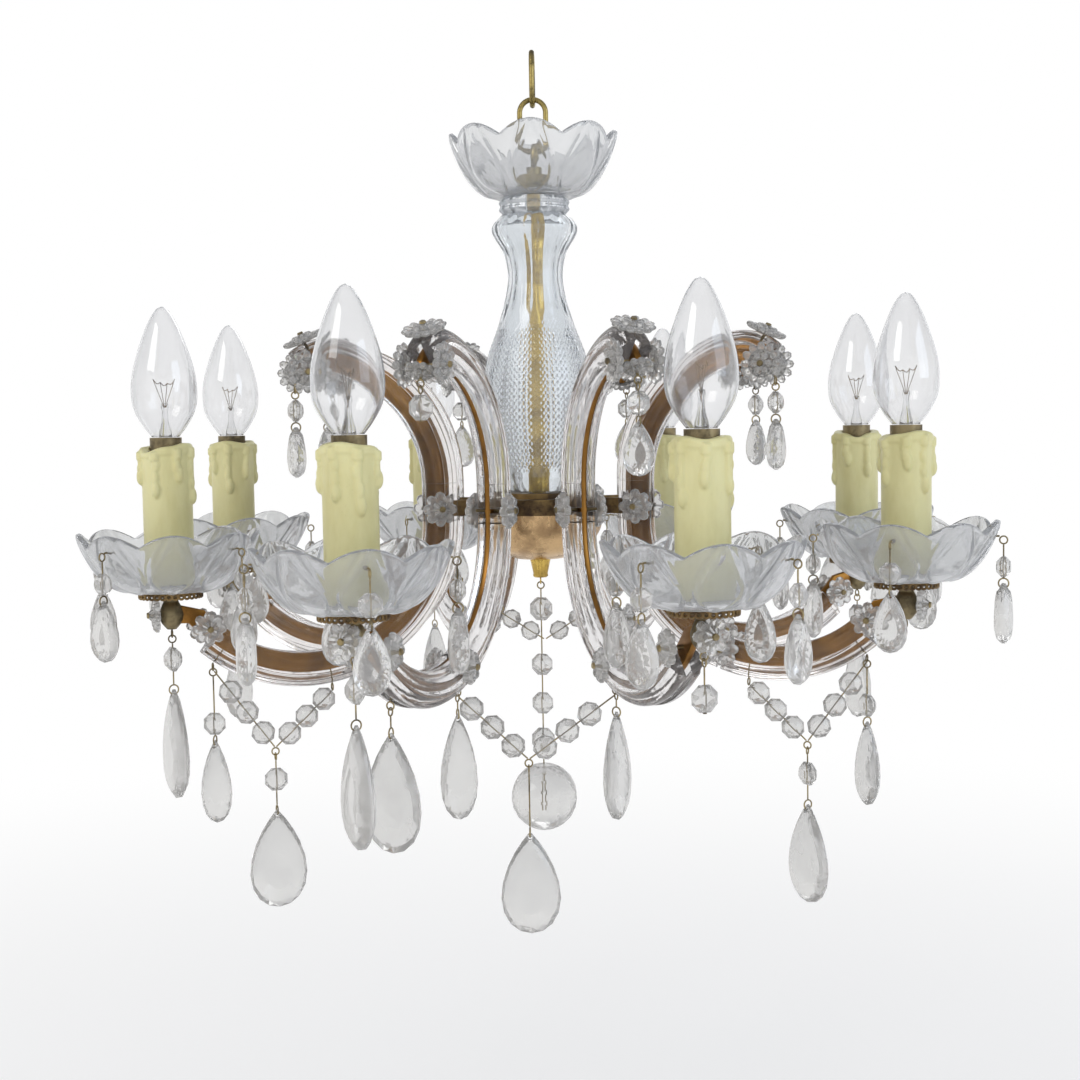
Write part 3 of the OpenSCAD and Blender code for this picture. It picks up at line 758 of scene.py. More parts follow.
@dataclass(frozen=True)
class Glass:
    """Clear glass with a faint haze, and painted shade at its edges: a grey veil at grazing angles
    that stands in for the dark reflections and refractions of the room.
    """

    name: str
    cut: Cut
    tint: tuple[float, float, float]
    shade: tuple[float, float, float]
    haze: float
    # rim: share of painted edge shade, the grey veil laid on at grazing angles
    rim: float

    @staticmethod
    def leaves(p: Paint) -> Value:
        """Cut outlines of the leaves pressed into a dish, from its own corner numbers.

        Args:
            p: Nodes of the dish's material.

        Returns:
            The mask, 1 on an outline.
        """
        lobe, reach = p.attribute("lobe"), p.attribute("reach")
        foot = 0.42
        leaf = ((reach - foot) * 5.4).wave() * Dish.leaf_width
        outline = 1 - (lobe - leaf).absolute().step(0.0, 0.16)
        ring = 1 - (reach - foot).absolute().step(0.005, 0.025)
        return outline + ring

    def make(self) -> bpy.types.Material:
        """Builds the material.

        Returns:
            The finished material.
        """
        p = Paint(self.name)
        drift = p.noise(38.0, 3.0)
        fine = p.noise(420.0, 2.0)
        p.set(Base_Color=p.blend(drift, self.tint, tuple(0.93 * c for c in self.tint)),
              Roughness=0.015 + 0.05 * fine, IOR=1.5, Transmission_Weight=1.0)
        # Painted edge shade: the rim share lays the grey veil at grazing angles in place of dark
        # reflections; the haze share is the glass's own milkiness.
        mask = self.haze * (0.6 + 0.8 * drift) + self.rim * p.edge(0.35).power(2.2)
        if self.cut is Cut.LEAFED:
            leaves = self.leaves(p)
            p.relief(p.noise(110.0, 2.0) * 0.6 - leaves, 0.0006, 0.5)
            mask = mask + leaves * 0.10
        else:
            scale, detail, depth, strength = RELIEFS[self.cut]
            p.relief(p.noise(scale, detail), depth, strength)
        if self.cut is Cut.RIBBED:
            p.set(Specular_Tint=(0.50, 0.40, 0.30, 1.0))
        p.over(mask, p.node("ShaderNodeBsdfDiffuse", {}, {"Color": (*self.shade, 1.0)}))
        return p.material


@dataclass(frozen=True)
class Brass:
    """Brass from bright to browned, with cloudy tarnish and fine wear."""

    name: str
    bright: tuple[float, float, float]
    dull: tuple[float, float, float]
    rough: float
    tarnish: float
    grain: float = 900.0

    def make(self) -> bpy.types.Material:
        """Builds the material.

        Returns:
            The finished material.
        """
        p = Paint(self.name)
        cloud = p.noise(70.0, 5.0, 0.62)
        spots = p.noise(520.0, 3.0).step(0.52, 0.68)
        mask = (cloud.step(0.35, 0.7) * self.tarnish + spots * 0.25 * self.tarnish).step(0.0, 1.0)
        p.set(Base_Color=p.blend(mask, self.bright, self.dull), Metallic=1.0 - 0.25 * mask,
              Roughness=self.rough + 0.28 * mask + 0.08 * p.noise(self.grain, 2.0))
        p.relief(p.noise(self.grain, 3.0), 0.00006, 0.5)
        return p.material


@dataclass(frozen=True)
class Sleeve:
    """Cream plastic sleeve moulded like a dripping candle."""

    name: str = "cream_sleeve"
    light: tuple[float, float, float] = (0.74, 0.70, 0.38)
    deep: tuple[float, float, float] = (0.60, 0.55, 0.26)

    def make(self) -> bpy.types.Material:
        """Builds the material.

        Returns:
            The finished material.
        """
        p = Paint(self.name)
        cloud = p.noise(45.0, 4.0, 0.6, (1, 1, 0.35))
        specks = p.noise(900.0, 2.0).step(0.66, 0.74)
        base = p.blend(cloud.step(0.3, 0.75), self.light, self.deep)
        p.set(Base_Color=p.blend(specks * 0.12, base, (0.35, 0.27, 0.14)),
              Roughness=0.36 + 0.16 * p.noise(300.0, 2.0), Subsurface_Weight=0.12,
              Subsurface_Radius=(0.004, 0.003, 0.0015), Subsurface_Scale=0.5)
        p.relief(p.noise(160.0, 3.0), 0.0003, 0.35)
        return p.material


@dataclass(frozen=True)
class Palette:
    """All finishes, made once."""

    glass: bpy.types.Material
    gem: bpy.types.Material
    bulb: bpy.types.Material
    vase: bpy.types.Material
    collar: bpy.types.Material
    ribbed: bpy.types.Material
    brass: bpy.types.Material
    bowl: bpy.types.Material
    dark_and_shaded_brass: bpy.types.Material
    strap: bpy.types.Material
    chain: bpy.types.Material
    holder: bpy.types.Material
    wires: bpy.types.Material
    sleeve: bpy.types.Material

    @staticmethod
    def mix() -> "Palette":
        """Makes every finish.

        Returns:
            The palette.
        """
        return Palette(
            # The last two numbers of each glass are its haze and its painted edge shade.
            glass=Glass("dish_glass", Cut.LEAFED, (0.965, 0.97, 0.975), (0.62, 0.63, 0.65),
                        0.21, 0.36).make(),
            gem=Glass("cut_glass", Cut.POLISHED, (0.975, 0.97, 0.96), (0.66, 0.65, 0.635),
                      0.29, 0.34).make(),
            bulb=Glass("bulb_glass", Cut.BLOWN, (0.98, 0.98, 0.985), (0.62, 0.64, 0.67),
                       0.03, 0.45).make(),
            vase=Glass("vase_glass", Cut.PRESSED, (0.94, 0.965, 0.985), (0.68, 0.72, 0.77),
                       0.08, 0.30).make(),
            collar=Glass("collar_glass", Cut.PRESSED, (0.95, 0.97, 0.985), (0.68, 0.72, 0.77),
                         0.22, 0.30).make(),
            ribbed=Glass("ribbed_glass", Cut.RIBBED, (0.965, 0.95, 0.945), (0.64, 0.61, 0.60),
                         0.03, 0.42).make(),
            brass=Brass("old_brass", (0.68, 0.47, 0.12), (0.26, 0.16, 0.04), 0.20, 0.6).make(),
            bowl=Brass("spun_brass", (0.62, 0.42, 0.22), (0.30, 0.18, 0.09), 0.16, 0.6).make(),
            # Dark brass: the metal's own dark patina, and on the hub plate also painted shade for
            # the shadow on its edge and top.
            dark_and_shaded_brass=Brass("dark_brass", (0.24, 0.16, 0.07), (0.08, 0.05, 0.03), 0.35, 0.9).make(),
            strap=Brass("gilt_strap", (0.27, 0.13, 0.03), (0.14, 0.062, 0.014), 0.26, 0.6).make(),
            chain=Brass("chain_brass", (0.36, 0.28, 0.10), (0.09, 0.07, 0.03), 0.28, 0.9).make(),
            holder=Brass("holder_metal", (0.26, 0.21, 0.12), (0.10, 0.08, 0.05), 0.35, 0.8).make(),
            wires=Brass("hook_wire", (0.34, 0.27, 0.14), (0.10, 0.08, 0.05), 0.32, 0.8).make(),
            sleeve=Sleeve().make())


# Pieces


@dataclass
class Crew:
    """What every sub-assembly needs: the finishes and the count of pieces."""

    finishes: Palette
    made: int = 0

    def finish(self, piece: bpy.types.Object, name: str, finish: bpy.types.Material, body: str,
               slot: str, nodes: Sequence[str]) -> bpy.types.Object:
        """Brings a piece to metres, paints it and hangs it on its body.

        Args:
            piece: The modelled piece, in millimetres, in place.
            name: Its name.
            finish: Its material.
            body: Body that it rides on.
            slot: Material slot of the record; not used.
            nodes: Solids that it stands for.

        Returns:
            The finished piece.
        """
        piece.name = name
        piece.data.name = name
        piece.data.transform(Matrix.Scale(MM, 4))
        piece.data.materials.clear()
        piece.data.materials.append(finish)
        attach(piece, body)
        if nodes:
            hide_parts(*nodes)
        self.made += 1
        log.info("piece %d: %s, %d faces", self.made, name, len(piece.data.polygons))
        return piece

    def dress(self, node: str, finish: bpy.types.Material) -> None:
        """Gives a carried-over solid its finish.

        Args:
            node: Its node in the frame.
            finish: Its material.
        """
        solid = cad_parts[node]
        solid.data.materials.clear()
        solid.data.materials.append(finish)
        log.info("solid: %s in %s", node, finish.name)


@dataclass
class Dish:
    """A pressed dish with eight lobes."""

    width: float
    height: float
    foot: float
    hole: float
    wall: float = 3.0
    tilt: float = 55.0
    lobes: int = 8
    lobe_r: float = 0.62
    leaf_width: float = 0.8
    leaf_rise: float = 0.6
    fluting: float = 0.9
    rings: int = 18
    steps: int = 160

    def line(self, t: float) -> tuple[float, float]:
        """Outer skin: radius and height at slope angle t in degrees.

        Args:
            t: Slope of the skin, 0 at the foot.

        Returns:
            Radius and height.
        """
        top = math.radians(self.tilt)
        a = math.radians(t)
        return (self.foot + (self.width / 2 - self.foot) * math.sin(a) / math.sin(top),
                self.height * (1 - math.cos(a)) / (1 - math.cos(top)))

    def reach(self, angle: float) -> float:
        """Radius of the scalloped rim, as a share of the largest, at an angle in radians.

        Args:
            angle: Angle about the dish's axis.

        Returns:
            The share, 1 in the middle of a lobe.
        """
        period = 2 * math.pi / self.lobes
        off = (angle + period / 2) % period - period / 2
        mid = 1 - self.lobe_r
        inside = max(self.lobe_r ** 2 - (mid * math.sin(off)) ** 2, 0.0)
        return mid * math.cos(off) + math.sqrt(inside)

    def model(self) -> bpy.types.Object:
        """Models the dish at the origin, its foot on Z = 0.

        Returns:
            The dish.
        """
        skin = [(self.hole / 2, 0.0), (self.foot * 0.55, 0.0), (self.foot * 0.9, 0.0)]
        skin += [self.line(self.tilt * k / self.rings) for k in range(self.rings + 1)]
        piece = Bench.lathe(skin, self.steps, closed=False)
        rim, top = self.width / 2, math.sin(math.radians(self.tilt))
        for vertex in piece.data.vertices:
            radius, angle = polar(vertex)
            if radius <= self.foot + 0.01:
                continue
            share = (radius - self.foot) / (rim - self.foot)
            limit = (self.reach(angle) * rim - self.foot) / (rim - self.foot)
            share *= 1 - (1 - limit) * share ** 0.8
            t = math.degrees(math.asin(min(share * top, 1.0)))
            new, z = self.line(t)
            flute = self.fluting * share * (1 - share) * math.cos(self.lobes * angle)
            widen(vertex, (new + flute) / radius)
            vertex.co.z = z
        Bench.edit(piece)
        bpy.ops.mesh.normals_make_consistent(inside=False)
        bpy.ops.object.mode_set(mode="OBJECT")
        down = sum(f.normal.z * f.area for f in piece.data.polygons)
        if down > 0:
            piece.data.flip_normals()
        outside = len(piece.data.vertices)
        Bench.apply(piece, "SOLIDIFY", thickness=self.wall, offset=-1.0, use_even_offset=True)
        for vertex in piece.data.vertices[:outside]:
            off, share = self.spot(vertex)
            leaf = self.leaf_width * math.sin(math.pi * min(max(share, 0.0), 1.0))
            if leaf > 0.05:
                vertex.co += vertex.normal * self.leaf_rise * max(0.0, 1 - (off / leaf) ** 2)
        Bench.bevel(piece, 0.8, 2, 50)
        self.mark(piece)
        return Bench.soften(piece, 40)

    def spot(self, vertex: bpy.types.MeshVertex) -> tuple[float, float]:
        """Where a corner lies: 0 to 1 from a lobe's middle to its edge, and from foot to rim.

        Args:
            vertex: Corner of the dish.

        Returns:
            Both shares.
        """
        period = 2 * math.pi / self.lobes
        radius, angle = polar(vertex)
        off = abs((angle + period / 2) % period - period / 2) / (period / 2)
        return off, (radius - self.foot) / (self.width / 2 - self.foot)

    def mark(self, piece: bpy.types.Object) -> None:
        """Stores where the cut lines run, as numbers on the corners.

        Args:
            piece: The dish.
        """
        lobe = piece.data.attributes.new("lobe", "FLOAT", "POINT")
        reach = piece.data.attributes.new("reach", "FLOAT", "POINT")
        for vertex in piece.data.vertices:
            lobe.data[vertex.index].value = self.spot(vertex)[0]
            reach.data[vertex.index].value = polar(vertex)[0] / self.width * 2


@dataclass
class Stem(Crew):
    """Chain, rod, top dish, collar and vase."""

    vase_width: float = 66.0
    vase_height: float = 161.0
    vase_wall: float = 3.0
    diamonds: int = 60
    diamond_depth: float = 1.3
    belly: float = 0.62
    flutes: int = 20
    flute_depth: float = 0.5
    rows: int = 210
    collar_r: float = 20.5
    collar_h: float = 10.0
    rod_r: float = 4.15
    gap: float = 0.08

    def build(self) -> None:
        """Models the glass of the stem and dresses its metal."""
        f = self.finishes
        dish = Dish(width=98, height=37, foot=22, hole=8.3).model()
        dish.data.transform(shift(0, 0, LV.collar_top))
        self.finish(dish, "top_dish_glass", f.glass, "frame", "pressed_glass", ["top_dish"])
        self.finish(self.collar(), "collar_glass", f.collar, "frame", "pressed_glass",
                    ["neck_collar"])
        self.finish(self.vase(), "vase_glass", f.vase, "frame", "patterned_glass", ["vase"])
        for node in ("upper_link", "chain_link", "top_eye"):
            self.dress(node, f.chain)
        self.dress("centre_rod", f.brass)

    @staticmethod
    def radius(line: Sequence[Point], height: float) -> float:
        """Radius of an outline at a height.

        Args:
            line: Points of the outline, from low to high.
            height: The height.

        Returns:
            The radius.
        """
        for (x0, z0), (x1, z1) in zip(line, line[1:]):
            if z0 <= height <= z1:
                return x0 + (x1 - x0) * (height - z0) / (z1 - z0)
        return line[-1][0]

    def collar(self) -> bpy.types.Object:
        """Turned collar with a soft waist.

        Returns:
            The collar.
        """
        r, low, h = self.collar_r, LV.vase_top + self.gap, self.collar_h - 2 * self.gap
        line = smooth([(r - 2.6, 0.0), (r, 2.6), (r - 0.7, h / 2), (r, h - 2.6), (r - 2.6, h)], 4)
        points = [(x, low + z) for x, z in line] + [(self.rod_r, low + h), (self.rod_r, low)]
        piece = Bench.lathe(points, 96)
        for vertex in piece.data.vertices:
            radius, angle = polar(vertex)
            if radius > r / 2:
                widen(vertex, 1 - 0.05 * abs(math.sin(8 * angle)))
        return Bench.soften(piece, 50)

    def vase(self) -> bpy.types.Object:
        """Vase with pressed diamonds on its belly and flutes on its neck.

        Returns:
            The vase.
        """
        r, h = self.vase_width / 2, self.vase_height
        shares = [(0.64, 0), (0.82, 0.09), (0.98, 0.23), (1, 0.34), (0.88, 0.49), (0.65, 0.62),
                  (0.49, 0.76), (0.55, 0.86), (0.76, 0.945), (0.58, 1)]
        line = smooth([(a * r, b * h) for a, b in shares], 10)
        heights = [h * k / self.rows for k in range(self.rows + 1)]
        outer = [(self.radius(line, z), z) for z in heights]
        inner = [(x - self.vase_wall, z) for x, z in line[::3]]
        piece = Bench.lathe(outer + inner[::-1], self.diamonds * 5)
        tall, pitch, belly = 5 * h / self.rows, 2 * math.pi / self.diamonds, self.belly
        for vertex in piece.data.vertices:
            radius, angle = polar(vertex)
            share = vertex.co.z / h
            if radius < self.radius(line, vertex.co.z) - 0.5:
                continue
            if share < belly:
                a, b = angle / pitch, vertex.co.z / tall
                u, v = (a + b) % 1.0 - 0.5, (a - b) % 1.0 - 0.5
                panel = 0.35 + 0.65 * min(1.0, 1.4 * abs(math.cos(5 * angle)))
                fade = min(max(share - 0.07, 0.0) / 0.03, (belly - share) / 0.05, 1.0)
                cut = self.diamond_depth * fade * panel * max(abs(u), abs(v))
            else:
                fade = min((share - belly) / 0.06, (1.0 - share) / 0.02, 1.0)
                cut = self.flute_depth * fade * (0.5 + 0.5 * math.cos(self.flutes * angle))
            widen(vertex, (radius - cut) / radius)
        piece.data.transform(shift(0, 0, LV.seat_top))
        return Bench.soften(piece, 24)


@dataclass
class Hub(Crew):
    """Plate, spun bowl and finial."""

    bowl_width: float = 76.0
    bowl_depth: float = 27.0
    bowl_wall: float = 1.6
    stud_r: float = 2.65

    def build(self) -> None:
        """Models the bowl and the finial and dresses the plate."""
        f = self.finishes
        r, d, wall, stud = self.bowl_width / 2, self.bowl_depth, self.bowl_wall, self.stud_r
        outer = smooth([(r * 0.26, -d), (r * 0.42, -d * 0.96), (r * 0.72, -d * 0.76),
                        (r * 0.92, -d * 0.42), (r, 0)], 8)
        inner = [(x - wall, z + (wall if z < -1 else 0)) for x, z in outer[::2]]
        bowl = Bench.lathe([(stud, -d)] + outer + inner[::-1] + [(stud, wall - d)], 96)
        bowl.data.transform(shift(0, 0, LV.bowl_top))
        self.finish(Bench.soften(bowl), "hub_bowl_spun", f.bowl, "frame", "polished_brass",
                    ["hub_bowl"])
        # The hub plate's dark brass is partly patina and partly painted shade, for the shadow on
        # its edge and top.
        self.dress("hub_plate", f.dark_and_shaded_brass)
        low = LV.finial_low
        cone = Bench.lathe([(0, 0), (3.6, 0), (4.4, 0.7), (4.4, 1.6), (4.2, 2.2), (5.7, 9.4),
                            (5.9, 9.8), (5.9, 11), (stud, 11), (stud, 3.9), (0, 3.9)], 48)
        cone.data.transform(shift(0, 0, low))
        loop = Bench.wire()
        loop.data.transform(shift(0, 0, low - 1.8) @ turn("Z", 90))
        self.finish(Bench.soften(Bench.join([cone, loop])), "finial_cone", f.brass, "frame",
                    "brass", ["finial"])


@dataclass
class Arms(Crew):
    """Brass straps, bosses, ribbed mouldings and rosettes."""

    # Angles on an arm's arcs: ends of the strap, ends of the glass, and two rosettes
    upper_start: float = 104.0
    strap_end: float = 322.0
    glass_start: float = 46.0
    glass_end: float = 311.0
    crown_rosette: float = 38.0
    cup_rosette: float = 316.0

    # The glass and the rosettes
    rib_points: int = 34
    glass_width: float = 19.0
    glass_thick: float = 7.5
    gap: float = 0.08
    slit: float = 1.2
    rosette_side: float = 9.4
    crown_out: float = 29.7

    def build(self) -> None:
        """Models one arm's pieces and copies them to the eight arms."""
        f = self.finishes
        strap, boss = self.strap(), self.boss()
        glass = Bench.join(self.mouldings())
        glass = Bench.soften(glass, 50)
        florets = self.florets()
        for i in range(1, 9):
            at = at_arm(i)
            for model, label, finish, slot, nodes in (
                    (strap, "strap", f.strap, "gilt_strap", [f"arm_{i}"]),
                    (boss, "boss", f.holder, "gilt_strap", [f"arm_{i}"]),
                    (glass, "mouldings", f.ribbed, "moulded_glass",
                     ["arm_glass_left", "arm_glass_right"]),
                    (florets, "florets", f.gem, "cut_glass", ["rosettes"])):
                piece = Bench.copies(model, [at], keep=True)[0]
                self.finish(piece, f"{label}_{i}", finish, "frame", slot, nodes)
        for model in (strap, boss, glass, florets):
            bpy.data.objects.remove(model)
        self.dress("pins", f.wires)

    def line(self, off: float) -> list[tuple[float, float]]:
        """One edge of the strap at a distance from the arm's line.

        Args:
            off: Distance from the line, outwards.

        Returns:
            Points from the scroll to the cup.
        """
        out: list[tuple[float, float]] = []
        for centre, r, a, b, n in ((LV.scroll, LV.scroll_r, LV.tip_turn, LV.crown_turn, 14),
                                   (LV.upper, LV.upper_r, self.upper_start, 180, 24),
                                   (LV.lower, LV.lower_r, 180, self.strap_end, 44)):
            out += [around(centre, r + off, a + (b - a) * k / n) for k in range(n + 1)]
        return out

    def strap(self) -> bpy.types.Object:
        """The flat strap with rounded edges.

        Returns:
            The strap.
        """
        inner, outer = self.line(LV.strap_in), self.line(LV.strap_in + LV.strap_w)
        outline = inner + [(LV.candle_r, LV.cup - 7), (LV.candle_r, LV.boss_low + 3)] + outer[::-1]
        seen: list[tuple[float, float]] = []
        for point in outline:
            if not seen or math.dist(point, seen[-1]) > 0.2:
                seen.append(point)
        half = LV.strap_t / 2
        piece = Bench.prism([(x, -half, z) for x, z in seen], (0, 2 * half, 0))
        return Bench.soften(Bench.bevel(piece, 0.7, 2, 50))

    def boss(self) -> bpy.types.Object:
        """Turned boss under the cup and the nipple above it.

        Returns:
            The boss.
        """
        line = smooth([(2.5, 0), (5.4, 3.6), (6.5, 8), (5.2, 12.6), (4.0, 15.6), (5.5, 18.4),
                       (5.5, 19)], 5)
        points = [(0.0, 0.0)] + line + [(4.5, 19), (4.5, 33.8), (0.0, 33.8)]
        piece = Bench.lathe(points, 40)
        piece.data.transform(shift(LV.candle_r, 0, LV.boss_low))
        return Bench.soften(piece, 40)

    def section(self, base: float, side: float) -> list[tuple[float, float]]:
        """Ribbed half round of a moulding.

        Args:
            base: Radius of the arm's line.
            side: 1 or -1 for the side of the strap.

        Returns:
            (radius, Y) points.
        """
        wide, thick, half = (self.glass_width, self.glass_thick - self.gap,
                             LV.strap_t / 2 + self.gap)
        points = [(base - wide / 2, side * half), (base + wide / 2, side * half)]
        for k in range(self.rib_points + 1):
            u = wide * (0.5 - k / self.rib_points)
            e = u / (wide * 0.52)
            rib = 1 - 0.17 * math.cos(math.radians(540 * u / wide)) ** 2
            points.append((base + u, side * (half + thick * math.sqrt(1 - e * e) * rib)))
        return points

    def mouldings(self) -> list[bpy.types.Object]:
        """The twelve lengths of glass of one arm.

        Returns:
            The lengths.
        """
        parts: list[bpy.types.Object] = []
        gap, slot = self.slit, math.degrees(self.slit / LV.lower_r)
        for side in (-1.0, 1.0):
            for centre, r, a, b, n in (
                    (LV.scroll, LV.scroll_r, self.glass_start, LV.crown_turn, 12),
                    (LV.upper, LV.upper_r, LV.crown_turn, 180, 30),
                    (LV.lower, LV.lower_r, 180, LV.bay_hook - slot, 26),
                    (LV.lower, LV.lower_r, LV.bay_hook + slot, self.glass_end, 24)):
                parts.append(Bench.sweep(self.section(r, side), centre, a, b, n))
            flat = [(2 * LV.joint_r - x, y) for x, y in self.section(LV.joint_r, side)]
            for low, high in ((LV.joint + gap, LV.upper[1]), (LV.lower[1], LV.joint - gap)):
                parts.append(Bench.prism([(x, y, low) for x, y in flat], (0, 0, high - low)))
        return parts

    def floret(self, width: float) -> bpy.types.Object:
        """Pressed rosette of eight petals, its back at the origin, facing +Z.

        Args:
            width: Its width.

        Returns:
            The rosette.
        """
        r = width / 2
        outline = []
        for k in range(32):
            a = math.radians(11.25 * k)
            reach = r * (0.78 + 0.22 * abs(math.cos(4 * a)) ** 0.7)
            outline.append((reach * math.cos(a), reach * math.sin(a), 0))
        piece = Bench.loop(outline)
        for rise, scale in ((1.4, 1.0), (1.6, 0.86), (-1.2, 0.52 / 0.86), (2.2, 0.62),
                            (1.0, 0.7)):
            bpy.ops.mesh.extrude_region_move(TRANSFORM_OT_translate={"value": (0, 0, rise)})
            bpy.ops.transform.resize(value=(scale, scale, 1), center_override=(0, 0, 0))
        return Bench.fill(piece)

    def daisy(self, width: float) -> bpy.types.Object:
        """Rosette of round petals in two rings, its back at the origin, facing +Z.

        Args:
            width: Its width.

        Returns:
            The rosette.
        """
        parts = [Bench.lathe([(0, 0), (0.30 * width, 0), (0.34 * width, 1.2), (0.14 * width, 2.2),
                              (0.10 * width, 4.6), (0.05 * width, 5.0), (0, 5.0)], 24)]
        for count, away, long, broad, high in ((12, 0.36, 0.14, 0.105, 1.8),
                                               (6, 0.17, 0.09, 0.08, 3.2)):
            size = Matrix.Diagonal((long * width, broad * width, 1.7, 1))
            places = [turn("Z", 360 * k / count) @ shift(away * width, 0, high) @ turn("Y", -12)
                      @ size for k in range(count)]
            parts += Bench.copies(Bench.ball(1, 8, 6), places)
        return Bench.soften(Bench.join(parts), 50)

    def sides(self, place: Point) -> list[Matrix]:
        """Frames of two rosettes that face away from the strap on both its sides."""
        x, z = place
        return [shift(x, s * self.rosette_side, z) @ turn("X", -90 * s) for s in (-1, 1)]

    def florets(self) -> bpy.types.Object:
        """All rosettes of one arm.

        Returns:
            The rosettes, joined.
        """
        low_r, scroll_r = LV.lower_r - LV.rosette_in, LV.scroll_r - LV.rosette_in
        parts: list[bpy.types.Object] = []
        for place, width in (((LV.joint_r + LV.rosette_in, LV.joint), 20),
                             (around(LV.lower, low_r, LV.bay_hook), 19),
                             (around(LV.lower, low_r, self.cup_rosette), 19)):
            parts += Bench.copies(self.floret(width), self.sides(place))
        sx, sz = LV.scroll
        crown = self.sides(around(LV.scroll, scroll_r, self.crown_rosette))
        crown.append(shift(sx, 0, sz) @ turn("X", 90) @ turn("Z", 66)
                     @ shift(self.crown_out, 0, 0) @ turn("Y", 90))
        parts += Bench.copies(self.daisy(24), crown)
        x, z = around(LV.scroll, scroll_r, LV.tip_turn)
        tip = shift(x, 0, z) @ turn("Y", 150) @ shift(0, 0, 0.3)
        parts += Bench.copies(self.daisy(20), [tip])
        parts += Bench.copies(self.floret(19), [shift(LV.candle_r + 6.9, 0, LV.boss_low + 8)
                                               @ turn("Y", 90)])
        return Bench.join(parts)


